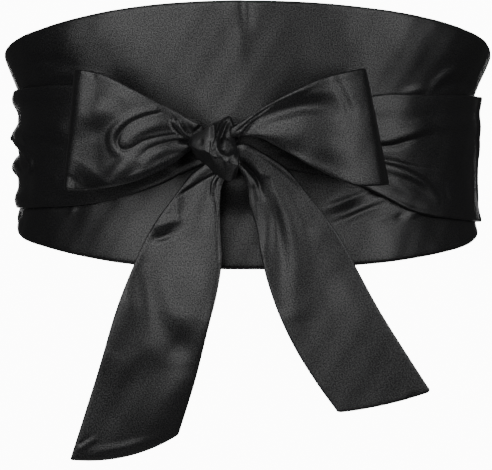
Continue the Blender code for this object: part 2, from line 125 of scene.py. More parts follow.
# Shine of the fuller and of the sunk threads, how sharply the grain parts them, how much the roughness
# changes with the patches and with the grain, and the threads' refraction and the nap's roughness
SHINE, GRAIN_CONTRAST = (0.72, 0.19), 3.2
PATCH_ROUGHNESS, GRAIN_ROUGHNESS = 0.10, 0.16
THREAD_IOR, NAP_ROUGHNESS = 1.52, 0.45

# Steps between two points of a fold's path, and between two sections when a ribbon's length is measured
FOLD_STEPS, RIBBON_STEPS = 6, 40

# How far short of its seam a tie starts, and where the back layer's map lies beside the front layer's
TIE_SEAM_GAP, BACK_LAYER_AT = 0.0003, 0.3

# Each kind of piece: the width, length and area that it was cut to, how it is held and on what, the
# distance between its points along and across it as shares of the mesh step, its share of the cloth's
# unevenness and that one's phase, and its share of the edges' fall. The knot's points are placed by the
# first of the two distances alone, and it has no unevenness and no fall.
Kind = namedtuple(
    "Kind", "width length area held rests_on along across uneven phase fall", defaults=(1.0, 0.0, 0.0, 0.0),
)
PANEL = Kind(0.150, 0.600, 0.0700, "stretched", (), 1.7, 1.6, 1.0, 0.0, 1.6)
TIE = Kind(0.074, 0.460, None, "stretched", ("front_panel",), 1.35, 1.25, 0.6, 1.0, 0.5)
LOOP = Kind(0.067, 0.150, None, "gathered", ("knot",), 1.0, 1.0, 0.5, 2.0, 0.8)
TAIL = Kind(0.056, 0.170, None, "hung", ("knot",), 1.0, 1.0, 0.6, 4.0, 0.8)
KNOT = Kind(0.040, 0.045, None, "gathered", ("left_loop", "right_loop"), 0.45)

# Across a tie: angle, top, bottom, layers of panel under it, height of its gathers. TIE_UNITS are the
# columns' units: degrees, millimetres and a count.
RIGHT_TIE = (
    (216, 32.9, -32.9, 0, 0), (208, 27, -37, 0, 0.4), (198, 10, -43, 0, 1), (192, 3.5, -46, 0, 1.8),
    (186, -1, -48, 0.21, 2.6), (180, -1, -49, 0.86, 3), (174, -1, -48.5, 1.57, 3), (168, 4, -47, 1.93, 2.6),
    (162, 13, -46, 1.79, 2.2), (152, 25, -45, 1.29, 1.4), (143, 29, -45, 1.07, 0.8), (128, 29, -46, 1, 0.5),
    (110, 28, -47, 1, 0.5), (90, 28, -47, 1, 0.6), (72, 27, -46.5, 1, 0.8), (60, 26, -45.5, 1, 1.2),
    (50, 25.2, -44, 1, 2.2), (42, 25, -40.5, 1, 3.4), (35, 24.5, -34, 1, 4.2), (28, 22, -27.5, 1.04, 4.2),
    (20, 16.5, -22.5, 1.25, 3.8), (12, 10, -19.5, 1.61, 3.4), (6, 6, -17.5, 1.96, 2.8),
    (1, 3.5, -16, 2.21, 2.4), (-4, 2.5, -15, 2.36, 2.2),
)
LEFT_TIE = (
    (216, 35.1, -35.1, 0, 0), (208, 38, -27, 0, 0.4), (198, 43, -10, 0, 1), (192, 46, -3.5, 0, 1.8),
    (186, 48, 1, 0.21, 2.6), (180, 49, 1, 0.86, 3), (174, 48.5, 1, 1.57, 3), (168, 47, -4, 1.93, 2.6),
    (162, 43, -15, 1.79, 2.4), (152, 38, -29, 1.29, 1.8), (143, 34, -35, 1.07, 1.8), (128, 32, -37, 1, 2.2),
    (110, 31, -38, 1, 2.6), (90, 31, -38.5, 1, 3), (74, 31, -39, 1, 2.8), (60, 31, -38.8, 1, 2.2),
    (50, 31, -38.4, 1, 2.4), (42, 30, -37.5, 1, 3), (34, 26.5, -35, 1, 3.6), (27, 20.5, -31.5, 1.07, 3.8),
    (20, 13, -26, 1.29, 3.6), (15, 8, -20.5, 1.64, 3), (11.5, 5, -17, 2.07, 2.4), (7, 3, -14, 2.36, 2.2),
)
TIE_UNITS = (1.0, MM, MM, 1.0, MM)

# A gathered ridge along the cloth: its crest across it and its half width, far from and by the knot, and
# its share of the gathers' height
RIGHT_TIE_RIDGES = (
    (0.16, 0.23, 0.2, 0.13, 1), (0.58, 0.44, 0.12, 0.09, 0.8), (0.76, 0.61, 0.11, 0.09, 0.85),
    (0.94, 0.84, 0.09, 0.13, 0.7),
)
LEFT_TIE_RIDGES = (
    (0.08, 0.14, 0.11, 0.12, 0.7), (0.36, 0.38, 0.12, 0.11, 1), (0.62, 0.62, 0.12, 0.11, 0.95),
    (0.92, 0.88, 0.11, 0.12, 0.8),
)
LOOP_RIDGES = (
    (0.12, 0.18, 0.16, 0.17, 0.8), (0.5, 0.52, 0.17, 0.16, 1), (0.86, 0.84, 0.15, 0.15, 0.75),
)
TAIL_RIDGES = (
    (0.14, 0.16, 0.16, 0.16, 0.8), (0.52, 0.5, 0.18, 0.17, 1), (0.88, 0.84, 0.15, 0.15, 0.9),
)

# Across a loop or tail: upper edge x and z, lower edge x and z, their depths, height of its gathers
LEFT_LOOP = (
    (-23, 5, -23, -6, -124, -123, 1.2), (-30, 8, -30, -8.5, -126.2, -124, 1.6),
    (-38, 12.5, -37, -14, -129, -126.2, 2.6), (-48, 17.5, -47, -20, -130.8, -128, 3),
    (-62, 25, -61, -25.5, -130, -127.2, 2.2), (-77, 32.5, -77, -28.8, -125, -123, 1),
    (-88, 35.8, -92, -29.8, -118, -115, 0.2), (-93.8, 36.8, -99.5, -30, -110, -106.5, 0),
    (-91.8, 36.8, -97.5, -30, -102, -98.5, 0), (-85, 35, -88, -29, -99.2, -98.5, 0.2),
    (-72, 30, -73, -26.5, -102, -102, 0.8), (-58, 23.5, -58, -22, -106.5, -106.5, 1.2),
    (-45, 16.5, -45, -16, -111.2, -111.2, 1.2), (-34, 11, -34, -10, -115.5, -115, 1),
    (-25, 7, -25, -6, -117.2, -116.5, 0.6),
)
RIGHT_LOOP = (
    (-9, 3, -9, -2, -123.5, -122.5, 0.8), (-1, 8, -1, -1, -125.8, -124, 1.2),
    (9, 14.6, 9, -1.8, -128.8, -126.2, 2), (23, 22.2, 23, -9.5, -130.8, -128, 2.8),
    (39, 30.2, 40, -19.5, -130, -127.5, 2.4), (52, 34, 57, -27.5, -125.5, -123.5, 1.2),
    (61, 36.2, 71, -27.8, -119, -116, 0.3), (65.5, 37.1, 78.5, -27, -111, -107.5, 0),
    (63.5, 37.1, 77, -26.8, -104, -100, 0), (56.5, 35.5, 68, -25.5, -102.5, -100.5, 0.2),
    (44, 31, 52, -21.5, -107, -105, 0.8), (30, 24, 34, -14, -111.8, -110.5, 1.2),
    (16, 17, 18, -6, -115.2, -114.5, 1.2), (4, 10.5, 4, 0, -117.5, -116.8, 0.8),
    (-8, 6, -8, 1, -118.5, -118, 0.4),
)
LEFT_TAIL = (
    (-20, -13, -13.5, -15, -119, -119, 0.6), (-23.5, -16.5, -12, -23.5, -118, -119, 1.4),
    (-30.9, -22.2, -13.8, -31, -116.5, -118, 2.6), (-39.1, -32.8, -14.3, -43.8, -116, -117, 3),
    (-48.5, -45.4, -13.8, -57.6, -115.8, -116.5, 2.6), (-56, -58, -13.3, -70, -115.6, -116, 2),
    (-64.5, -77, -16, -88, -115, -116.5, 1.4), (-72.7, -98.9, -21.5, -109.9, -114, -117, 0.8),
    (-80.3, -123.7, -27.6, -133, -113, -116.5, 0.4), (-88.8, -150, -33.2, -152, -112, -115, 0.2),
    (-98.8, -180.8, -37.5, -166.7, -110.5, -113.5, 0),
)
RIGHT_TAIL = (
    (-10, -8, -10, -14, -120.5, -120, 0.6), (-1, -4.5, -3.5, -19, -120, -119.5, 1.4),
    (8.8, -9.2, 0.8, -27, -118.5, -118, 2.6), (21.5, -17.5, 2.2, -39, -117, -117, 3),
    (31.4, -28.9, 6.1, -51, -116, -116.5, 2.8), (43, -43.8, 7.8, -63.1, -115.5, -116.5, 2.2),
    (53.3, -58.7, 11.6, -79.6, -115, -117, 1.6), (62.9, -76.9, 18.3, -98.9, -114.5, -117, 1),
    (73.2, -96.1, 27.6, -118.2, -113.5, -116.5, 0.5), (86.2, -117.1, 38.9, -136.4, -112, -115, 0.2),
    (101.5, -140.8, 50.5, -152.6, -110, -113.5, 0),
)

# The knot's depth and the length round it. Along the knot: place along the bow, top, bottom, and how far
# its face and its back stand from its depth
KNOT_DEPTH, KNOT_ROUND = -0.1190, 0.092
KNOT_RINGS = (
    (-31.6, -1.5, -5.5, 5, 3), (-30.2, -0.2, -8, 8.6, 6), (-27.5, 1.2, -11.6, 11.2, 8.4),
    (-24.5, 2.4, -14.2, 13.2, 10), (-21.5, 4, -16.8, 15, 11.2), (-18.8, 5.7, -19.6, 16, 12),
    (-16.2, 7.2, -22, 14.8, 12.5), (-13.6, 8.8, -23.8, 13.8, 12.6), (-11.2, 10.1, -24.7, 13.4, 12.6),
    (-9.2, 10.6, -24.9, 13.4, 12.2), (-7.2, 7.8, -24.6, 13.6, 11.4), (-5.4, 3, -22.6, 13.4, 10),
    (-4.3, -0.8, -19, 12.6, 8), (-3.8, -2.4, -16.6, 9.2, 5),
)

# Along the bow, the crest that the wrap turns under at: its place, its height, and how far the wrap's upper
# edge already stands out there, as a share of the crest
KNOT_CREST = (
    (-30.7, -5.6, 0.6), (-26.6, -8.1, 0.7), (-22.8, -8.7, 0.76), (-19.8, -10.4, 0.8), (-17.9, -12.2, 0.74),
    (-16, -12.3, 0.32), (-12.5, -13.6, 0.18), (-9.8, -15.2, 0.12), (-4.2, -17.6, 0.16),
)

# How the wrap's face swells out below its upper edge and draws in under its crest, how low and high the
# crest may be, where the front's folds take over from the rear's, and the radius of the turn when flat
WRAP_RIM_WIDTH, WRAP_SWELL, WRAP_DRAWS_IN = 0.05, 1.2, 1.25
KNOT_CREST_LIMITS, KNOT_FRONT, KNOT_FLAT_RADIUS = (-0.7, 0.5), (-0.1, 0.5), 0.0146

# One listed fold: the path of its crest, how high it stands at its start, middle and end (below 0 is
# a trough), its half width at its start and its end, and how much steeper it is on the right of its path.
# Paths are x and z as the front is seen, or on the panel and the ties the angle round the waist and z.
Fold = namedtuple("Fold", "name path start middle end first_half last_half lean", defaults=(0.0,))


def folds(*rows):
    """The folds of a table."""
    return [Fold(*row) for row in rows]


LEFT_LOOP_FOLDS = folds(
    ("crest that the lit part turns down at", ((-101.4, 8.4), (-88.3, 10.6), (-78.5, 14.4), (-68.7, 18.8)),
     1.6, 2, 0.5, 15, 10),
    ("lit swell in the middle", ((-73, 23.1), (-63.2, 19.9)), 0.2, 0.3, 0.1, 7, 6),
    ("lower half, pressed back", ((-113.4, -43.4), (-99.2, -39.5), (-87.2, -33.5), (-79.6, -23.7)),
     -9, -9, -2.5, 110, 26),
    ("hollow under the crest", ((-77.4, 14.4), (-82.9, 5.7), (-89.4, -4.1), (-97, -13.9)),
     0, -1.8, -2.6, 22, 34),
    ("pucker at the top corner", ((-89.4, 37.3), (-87.8, 31.9)), 0.6, 0.5, 0, 2, 2.4),
    ("second pucker at the top corner", ((-84.5, 36.2), (-82.9, 29.7)), -0.6, -0.5, 0, 2.2, 2.6),
    ("horseshoe ridge", ((-49.1, 13.3), (-57.8, 11.2), (-66, 7.3), (-71.7, 1.9), (-73.3, -3), (-71.4, -7.9),
     (-65.4, -12.3)), 0.5, 1.1, 0.5, 3, 4.4, -0.25),
    ("trough inside the horseshoe", ((-46.9, 12), (-55.6, 9.8), (-63.2, 6.3), (-68.7, 0.8), (-70.6, -4.7),
     (-68.1, -8.2), (-62.7, -7.4), (-56.1, -3.8), (-48, -1.4), (-37.1, 0.3)), -0.4, -0.9, -0.5, 1.6, 1.6),
    ("upper tongue", ((-34.9, 5.7), (-45.8, 5.7), (-56.7, 2.4), (-65.4, -4.1)), 0.5, 0.8, 0.5, 4.6, 4.2),
    ("trough between the tongues", ((-34.9, -2.5), (-44.7, -4.7), (-52.9, -7.9), (-58.3, -12.3)),
     -0.4, -0.6, -0.2, 1.4, 2.4),
    ("lower tongue", ((-32.7, -6.3), (-42.5, -7.9), (-50.1, -11.2), (-55.6, -15.6)),
     0.4, 0.7, 0.3, 3.4, 4.2),
    ("lower swell", ((-79.6, -27), (-69.8, -19.4), (-62.1, -13.9)), 0.6, 1.6, 0.6, 8, 6),
    ("lower rim turned under", ((-81.8, -29.2), (-62.1, -24.8), (-44.2, -17.2), (-31.6, -9)),
     -0.4, -0.8, -0.4, 3, 2.4),
    ("slit of the curl", ((-38.2, 9.2), (-40.6, 7.6), (-39.6, 4.1), (-36.2, 0.5), (-31.6, -2.7)),
     -0.5, -1.4, -0.8, 1, 1),
    ("curl by the knot", ((-38.4, 7.1), (-36.2, 3.5), (-32.2, -0.8)), 0.9, 1.2, 0.5, 1.9, 1.2),
    ("slit beside the curl", ((-36, 8.4), (-34.9, 5.4), (-32.9, 1.9), (-30.5, -1.4)),
     -0.4, -1, -0.4, 0.8, 0.8),
    ("facet beside the curl", ((-32.2, 8.4), (-29.4, 5.2), (-27.3, 1.9)), 0.2, 0.5, 0.2, 2.6, 2.2),
    ("dark side of the fold behind", ((-19.1, 7.9), (-24, 4.6), (-28.9, 0.8)), -1.2, -1.7, -0.6, 3.2, 2.2),
    ("hole at the pinch", ((-37.1, -3.6), (-34.3, -3.8), (-31.1, -4.1)), -0.8, -2.6, -2, 1.8, 2.2),
)
RIGHT_LOOP_FOLDS = folds(
    ("belly", ((41.4, 29.7), (43.6, 2.4), (45.8, -28.1)), 4.4, 4.8, 4.8, 60, 60),
    ("main crest", ((-3.3, -5.7), (2.2, -2.5), (9.8, 0.3), (21.8, 0.8), (39.2, -0.8), (56.7, -1.9)),
     0.6, 1.4, 0.4, 3.4, 14),
    ("hollow above the crest", ((6.5, 7.3), (16.4, 11.7), (29.4, 15), (42.5, 15.5), (51.2, 13.3)),
     -0.8, -2.4, -0.6, 6, 9, 0.1),
    ("upper rim", ((-1.6, 4.6), (8.7, 13.3), (24, 21.5), (41.4, 29.7), (56.7, 34.1)), 0.3, 0.6, 0.2, 1.8, 4),
    ("crease inside the upper rim", ((-3.3, 3), (3.3, 8.4), (13.1, 15.5), (21.8, 19.9)),
     -0.7, -0.7, 0, 1.2, 1.6),
    ("crease by the knot", ((-2.7, -1.4), (1.6, 4.6), (8.7, 10.1)), -0.9, -1, -0.2, 1.4, 2),
    ("dimple by the knot", ((-1.6, -4.1), (4.4, -1.7), (9.8, -2.5), (15.3, -6.8)),
     -0.6, -1.9, -0.2, 1.8, 2.8, -0.2),
    ("lower crest", ((8.7, -3.6), (19.6, -11.7), (34.9, -18.8), (52.3, -27)), 0.6, 1.1, 0.6, 3, 7, 0.2),
    ("first upright wave", ((45.8, 30.8), (51.2, 21), (54.5, 13.3), (57.8, 3.5)), -0.4, -0.7, -0.1, 3, 4.4),
    ("lower swell", ((29.4, -6.3), (45.8, -8.5), (62.1, -13.9)), 0, 0.7, 0.2, 8, 10),
    ("lit fold by the upper edge", ((8.7, 16.6), (20.7, 22.1), (32.7, 26.4)), 0.4, 0.7, 0.2, 2.6, 3.6),
)
KNOT_FOLDS = folds(
    ("bright ridge", ((-17.6, 7.1), (-17.5, 0), (-18.6, -5.9), (-19.4, -10.8)), 0.8, 1.1, 0.5, 1, 1),
    ("crease left of the ridge", ((-20.2, -2.1), (-20, -6.5), (-20.3, -10.3)), -0.2, -0.7, -0.3, 0.8, 0.8),
    ("crease right of the ridge", ((-16.5, 3.3), (-16.8, -1.6), (-17.8, -7), (-18.1, -10.3)),
     -0.6, -0.9, -0.4, 0.9, 0.7),
    ("streak in the facet", ((-12.5, 8.2), (-14.4, 3.3), (-15.4, 0)), 0.3, 0.5, 0.1, 0.7, 0.7),
    ("rim of the pocket", ((-11.4, 8.2), (-14.4, 3.3), (-16.1, -2.1), (-16.2, -7), (-14, -11.1),
     (-10.9, -11.7)), 0.3, 1.2, 0.7, 1.3, 2.1, -0.15),
    ("pocket", ((-5.4, 7.6), (-4.3, 1.7), (-4.6, -3.2), (-6.5, -7)), -1.2, -2.4, -1, 9, 12, -0.3),
    ("lit triangle", ((-10.9, -14.1), (-8.1, -12.4), (-5.4, -10.3)), 0.4, 0.7, 0.4, 3.4, 3.4),
    ("slit", ((-10.6, 7.1), (-12.4, 1.7), (-13.5, -3.2), (-12.8, -8.1)), -1.4, -2.8, -1.2, 1.5, 1.9, 0.3),
    ("edge of the right face", ((-7.3, 7.1), (-5.2, 1.1), (-4.6, -6.5)), 0.3, 0.5, 0.3, 0.9, 0.9),
    ("lower right fullness", ((-10.9, -14.6), (-8.1, -11.9), (-5.4, -8.6)), 0.4, 0.7, 0.3, 3, 2.4),
    ("hollow of the fan", ((-26.6, -3.8), (-22.8, -4.8)), -0.2, -0.4, 0, 3.4, 2.6),
)
LEFT_TAIL_FOLDS = folds(
    ("rolled upper edge", ((-18.7, -16.8), (-27, -22.3), (-34.7, -28.9), (-41.9, -37.2), (-49.6, -49.8)),
     0.3, 0.5, 0.2, 3.6, 4.4),
    ("turned under it", ((-16, -20.7), (-24.2, -24.5), (-31.4, -28.9), (-36.9, -32.8), (-40.2, -38.3)),
     -1, -1.4, -0.2, 1, 1.1),
    ("small ridge from the crease's end", ((-39.1, -32.2), (-38, -38.3), (-36.9, -46.5)),
     0.2, 0.7, 0.1, 1.4, 2),
    ("dent beside it", ((-35.2, -32.2), (-34.1, -37.7), (-33, -43.2)), -0.4, -0.7, 0, 1.6, 2.2),
    ("dimple", ((-51.8, -58.1), (-45.2, -55.9), (-36.9, -52.6)), -0.5, -1.5, -0.4, 3.6, 4.6, 0.2),
    ("swell above the dimple", ((-49.6, -49.8), (-43, -47.6), (-34.1, -45.4)), 0.3, 0.9, 0.2, 3.4, 4.2),
    ("curl by the knot", ((-15.4, -22.3), (-17.9, -26.7), (-18.4, -34.4)), 1.2, 1.3, 0.2, 1.3, 1.6),
    ("line along the inner edge", ((-17.6, -33.3), (-16.5, -41), (-15.6, -53.1), (-15.2, -69.7)),
     -0.4, -0.7, -0.2, 0.8, 0.9),
    ("roll along the inner edge", ((-15.4, -27.8), (-14.3, -38.8), (-13.5, -53.1), (-13.8, -69.7)),
     0.6, 0.8, 0.4, 1.2, 1.3),
    ("broad swell", ((-27.5, -55.4), (-27, -69.7), (-24.2, -88.4), (-25.3, -104.9)), 0.4, 2.2, 1, 16, 27),
    ("curved hollow", ((-52.3, -56.5), (-55.6, -66.4), (-56.2, -78.5), (-54, -91.7), (-48.5, -104.9),
     (-39.1, -113.7)), -1, -2.7, -1.5, 10, 14),
    ("outer edge turned forward", ((-61.7, -67.5), (-68.8, -91.7), (-77.1, -118.1)), 0.6, 2.6, 0.6, 18, 24),
    ("hollow across", ((-30.8, -109.3), (-38.5, -119.2), (-55.1, -135.7), (-72.7, -151.2)),
     -0.4, -0.9, -0.2, 13, 17),
    ("lower swell", ((-31.9, -126.9), (-36.3, -141.3), (-43, -156.7)), 0.2, 0.6, 0.3, 9, 11),
    ("second faint dent", ((-34.1, -69.7), (-27.5, -74.1)), -0.2, -0.3, -0.1, 7, 7),
    ("swell along the hem", ((-84.8, -175.9), (-68.3, -173.2), (-52.9, -168.8)), 0.3, 0.6, 0.2, 4, 4),
    ("pucker at the corner", ((-93.6, -174.3), (-87, -169.9), (-81.5, -167.7)), 0.7, 0.5, 0, 1.6, 2.4),
    ("dip between the puckers", ((-92.5, -171.5), (-85.9, -166.6)), -0.5, -0.4, 0, 1.4, 1.8),
)
RIGHT_TAIL_FOLDS = folds(
    ("main ridge", ((0, -8), (8.8, -19), (17.1, -32.2), (23.7, -46.5), (27, -63.1), (28.1, -79.6),
     (28.1, -95)), 1, 1.6, 0.5, 6, 11),
    ("pocket", ((-1.7, -15.2), (2.8, -19), (7.2, -25.6), (8.3, -34.4)), -2.2, -2.8, -0.6, 3, 3),
    ("left strip", ((-3.3, -17.9), (-0.6, -23.4), (0.6, -33.3), (2.8, -46.5), (7.2, -64.2)),
     0.9, 1, 0.3, 3, 4, 0.2),
    ("dip beside the strip", ((3.9, -30), (6.1, -42.1), (8.3, -57.6)), -0.5, -0.6, -0.2, 3.4, 4),
    ("inner ridge", ((8.8, -22.3), (11.6, -33.3), (13.2, -45.4), (12.1, -57.6), (8.8, -69.7)),
     0.5, 0.8, 0.3, 4, 5),
    ("dark trough", ((11, -25.6), (14.3, -38.8), (17.6, -55.4), (19.3, -73), (19.3, -93.9)),
     -0.9, -1.7, -0.8, 6, 10, -0.1),
    ("outer edge roll", ((6.6, -8.5), (22, -19.6), (36.3, -33.3), (49.6, -55.4)), 0.5, 0.8, 0.2, 2.4, 4),
    ("broad swell", ((38.5, -57.6), (51.8, -81.8), (66.1, -107.1), (82.6, -131.3)), 0.3, 1.3, 0.4, 10, 15),
    ("long hollow", ((27.5, -90.6), (36.3, -109.3), (48.5, -130.2)), -0.1, -0.3, -0.1, 6, 9),
    ("pucker in the hem", ((87, -147.9), (90.3, -143.5), (95.8, -140.7)), -0.6, -0.5, 0, 1.5, 2.4),
    ("second pucker in the hem", ((94.2, -146.8), (98, -142.4)), 0.5, 0.5, 0, 1.6, 2.2),
)
PANEL_FOLDS = folds(
    ("fullness behind the knot", ((-8.1, -24.7), (-2.8, -24.7), (1.9, -24.7)), 3.2, 3.8, 3.2, 22, 22),
    ("crest that the dark left part turns at", ((-28.2, -37.4), (-28.6, -52), (-28.5, -69.9)),
     1.2, 1.7, 1.2, 26, 26),
    ("cloth that hangs in below the bow", ((-7.2, -70.9), (0.9, -73.1), (9.1, -70.9)),
     -2.2, -2.4, -2.2, 52, 52),
    ("pressed crease at the middle", ((-1.7, 75.9), (-1.3, 63.8), (-0.7, 50.2), (-0.7, 28.6)),
     1.2, 0.8, 0, 8, 6, -0.35),
    ("dent beside its top", ((0.2, 73.7), (0.4, 66), (0.2, 56.1)), -0.7, -0.6, 0, 4, 4),
    ("first wrinkle below the right tie", ((17.2, -42), (24.2, -36.3), (32.9, -28.9)),
     -0.3, -1.1, -0.7, 3.8, 2.6, 0.25),
    ("ridge beside it", ((18, -47), (25.4, -41.4), (35.3, -32.8)), 0.3, 1.1, 0.6, 3.4, 2.4),
    ("second wrinkle", ((22.4, -48.7), (28.6, -42.5), (37.6, -36.7)), -0.3, -1, -0.5, 3.2, 2.4, 0.25),
    ("swell under it", ((25.4, -51.4), (32.2, -46.4), (39.2, -41.8)), 0.2, 0.7, 0.3, 3, 3),
    ("dimple", ((38.3, -45.2), (41, -44)), -0.4, -1, -0.3, 2.6, 2.6),
    ("knob by the tie's edge", ((42.8, -42.9), (46.8, -41.7)), 0.7, 1.1, 0.3, 2.8, 2.4),
    ("swells above the right tie", ((40.6, 26.2), (44.5, 27.7), (48.8, 29.1)), 0.2, 1, 0.3, 2.8, 2.8),
    ("crest over the lens", ((50.7, 27), (52.2, 32.3), (56.2, 37.8), (66.1, 41.7)),
     0.4, 0.9, 0.3, 4, 4.4, 0.3),
    ("dark lens under it", ((54.4, 30.2), (61.6, 33.8), (75.9, 34.8)), -0.6, -1.4, -0.5, 4.4, 4),
    ("crest that the lit part ends at", ((38.4, -44.1), (36.3, -55.4), (34.5, -67.7)), 1, 1.3, 1, 28, 28),
    ("left swell over the tie", ((-64.8, 35.3), (-49.6, 37.1), (-38.9, 35)), 0.2, 0.6, 0.2, 4, 6),
    ("left dent", ((-62.2, 45.3), (-53.4, 45.3), (-44.7, 43.3)), -0.2, -0.6, -0.1, 4, 5),
    ("knob under the left tie", ((-48.3, -41.7), (-46.3, -39.4)), 0.6, 1, 0.3, 2.6, 2.4),
    ("swell at the left end", ((-90, -33.8), (-90, -41), (-75.2, -49.5)), 0.8, 1.2, 0.4, 4, 4),
)
RIGHT_TIE_FOLDS = folds(
    ("blunt ridge behind the loop's edge", ((30, -1.4), (36.5, -0.3), (41.7, 2.5), (49, 6.4), (59, 8.8)),
     1.4, 1.6, 0.2, 5.5, 6, 0.3),
    ("trough under it", ((30, -5.9), (36.2, -4.5), (40.4, -2.1), (45.2, 1)), -0.8, -1.1, -0.1, 2.4, 2.6),
    ("bulge at the silhouette", ((90, 29.9), (90, 19.1), (90, 8.2), (90, -9.8), (90, -31.4)),
     2.4, 3, 1.4, 12, 10),
    ("lower bulge at the silhouette", ((90, -42.2), (90, -48.2)), 1.2, 1.6, 1.2, 8, 8),
    ("lower trough", ((30.6, -11.5), (36.8, -13.5), (43.8, -16.1), (55, -18.6)), -0.6, -0.8, -0.1, 2.6, 3),
    ("tongue's rim", ((32.9, -15.4), (37.8, -17.7), (43.8, -21.5), (49, -26.8), (52.7, -33.6)),
     1.2, 1.8, 0.4, 4, 3.6, -0.3),
    ("swell of the tongue's face", ((37.8, -27.1), (43.8, -32.6), (48.7, -38.2)), 0.2, 0.3, 0.1, 5, 4.4),
    ("dark beyond the tongue", ((49, -22.2), (56, -28.9), (57.5, -38.1)), -0.1, -0.3, -0.1, 4, 4),
    ("crest that the lit part ends at", ((37, 23.8), (37.8, 4.6), (38.4, -15.7)), 1.3, 1.7, 1.2, 30, 30),
    ("edge over the panel", ((28.3, -26.1), (38.3, -36.1), (44, -40.6), (54.8, -43.9)), 0.3, 0.5, 0.2, 2, 2),
)
LEFT_TIE_FOLDS = folds(
    ("fold at the silhouette", ((-90, 2.2), (-76.4, -4.6), (-66.5, -11.1), (-65.7, -15.8), (-73.7, -20.1)),
     1.6, 1.8, 0.4, 2.6, 2.4, 0.35),
    ("hollow inside it", ((-90, -5), (-77.9, -10.5), (-72.6, -15.5)), -1.2, -1.4, -0.4, 2.8, 2.4),
    ("bulge at the silhouette", ((-90, 10.6), (-90, 4), (-90, 1)), 0.8, 1.4, 0.4, 3.2, 2.6),
    ("lower bulge at the silhouette", ((-90, -9.8), (-90, -14.6), (-80.1, -19.8)), 0.8, 1.4, 0.4, 3, 2.6),
    ("upper bulge at the silhouette", ((-90, 27.5), (-90, 20.3), (-90, 15.4)), 0.6, 1, 0.2, 4, 3),
    ("faint upper swell", ((-76.4, 13.1), (-60.1, 10.6), (-50.6, 6.5)), 0.4, 0.7, 0.4, 5, 6),
    ("faint dip", ((-69.7, 0.8), (-59, -1.1), (-49.8, -3.9)), -0.3, -0.6, -0.4, 4, 5),
    ("small lit dent", ((-55, -20.9), (-51.4, -22.1)), 0.4, 0.6, 0.2, 2.4, 2.4),
    ("lower swell", ((-65, -32.7), (-53.9, -35.3), (-48.1, -35.4)), 0.2, 0.3, 0.1, 3, 3.4),
    ("fullness behind the loop", ((-62.4, -25.2), (-49.8, -26.2), (-39, -25.4), (-28.9, -20),
     (-20.4, -11.7)), 1, 3, 2.6, 14, 12),
)
LEFT_LOOP_REAR_FOLDS = folds(
    ("upper rear ridge", ((-36, 8), (-56, 15), (-80, 22)), 1, 1.5, 0.3, 3, 6),
    ("rear trough", ((-34, 3), (-54, 5), (-74, 4)), -0.8, -1.4, -0.2, 2.4, 5),
    ("middle rear ridge", ((-34, -2), (-52, -5), (-80, -8)), 1, 1.4, 0.2, 2.8, 6),
    ("lower rear ridge", ((-34, -7), (-52, -15), (-72, -22)), 0.9, 1.1, 0.2, 2.6, 5),
)
RIGHT_LOOP_REAR_FOLDS = folds(
    ("upper rear ridge", ((6, 9), (24, 18), (48, 26)), 1, 1.4, 0.2, 2.8, 6),
    ("rear trough", ((6, 6), (24, 9), (46, 10)), -0.8, -1.4, -0.2, 2, 5),
    ("middle rear ridge", ((8, 3), (26, 1), (52, -4)), 0.9, 1.3, 0.2, 2.4, 6),
    ("lower rear ridge", ((14, -3), (32, -11), (54, -19)), 0.6, 1.1, 0.2, 2.4, 5),
)
KNOT_REAR_FOLDS = folds(
    ("first turn behind", ((-26, 2), (-24, -14)), 0.6, 0.8, 0.4, 2.2, 2.2),
    ("second turn behind", ((-17, 7), (-16, -22)), 0.8, 1, 0.6, 2.6, 2.6),
    ("third turn behind", ((-9, 9), (-9, -24)), 0.6, 0.8, 0.4, 2.2, 2.4),
)

# The pieces that come in pairs. side is 1 at +X and -1 at -X. end_swell is how far a loop's turned end is
# swelled. A tail is turned towards -X in its upper and its lower half, its end hangs back, and its cut end
# is bowed and has two rounded corners, at the lower and the upper edge.
Tie = namedtuple("Tie", "side sections ridges folds")
Loop = namedtuple("Loop", "side sections front_folds rear_folds end_swell")
Tail = namedtuple("Tail", "side sections folds upper_turn lower_turn falls_back bow low_corner high_corner")
TIES = {
    "left_tie": Tie(-1, LEFT_TIE, LEFT_TIE_RIDGES, LEFT_TIE_FOLDS),
    "right_tie": Tie(1, RIGHT_TIE, RIGHT_TIE_RIDGES, RIGHT_TIE_FOLDS),
}
LOOPS = {
    "left_loop": Loop(-1, LEFT_LOOP, LEFT_LOOP_FOLDS, LEFT_LOOP_REAR_FOLDS, 0.0030),
    "right_loop": Loop(1, RIGHT_LOOP, RIGHT_LOOP_FOLDS, RIGHT_LOOP_REAR_FOLDS, 0.0008),
}
TAILS = {
    "left_tail": Tail(-1, LEFT_TAIL, LEFT_TAIL_FOLDS, 0.110, 0.020, 0.0105, 0.0052, 0.0016, 0.0013),
    "right_tail": Tail(1, RIGHT_TAIL, RIGHT_TAIL_FOLDS, 0.040, 0.085, -0.0045, 0.0016, 0.0020, 0.0022),
}

# What the lights face, and each softbox: azimuth from the front towards +X and height above the horizon in
# degrees, distance, width and height, and power in watts
TARGET = Vector((0.0, -0.06, -0.035))
SOFTBOXES = {
    "key_left": (-31.0, 16.5, 1.9, 2.15, 2.1, 37.0),
    "fill_front": (19.0, 13.0, 1.95, 1.20, 1.9, 4.7),
    "right_side": (53.0, 14.0, 1.9, 0.94, 2.1, 18.0),
    "fill_low": (-90.0, -76.0, 0.85, 0.90, 0.9, 1.6),
    "behind": (180.0, 4.0, 2.0, 1.40, 2.0, 30.0),
}

# Strength of the even light from all round, and the camera's place, sensor in millimetres and reach
AIR_LIGHT = 0.03
CAMERA_PLACE, SENSOR_WIDTH, CAMERA_SEES_TO = (0.0, -1.4, -0.0548), 36.0, 20.0

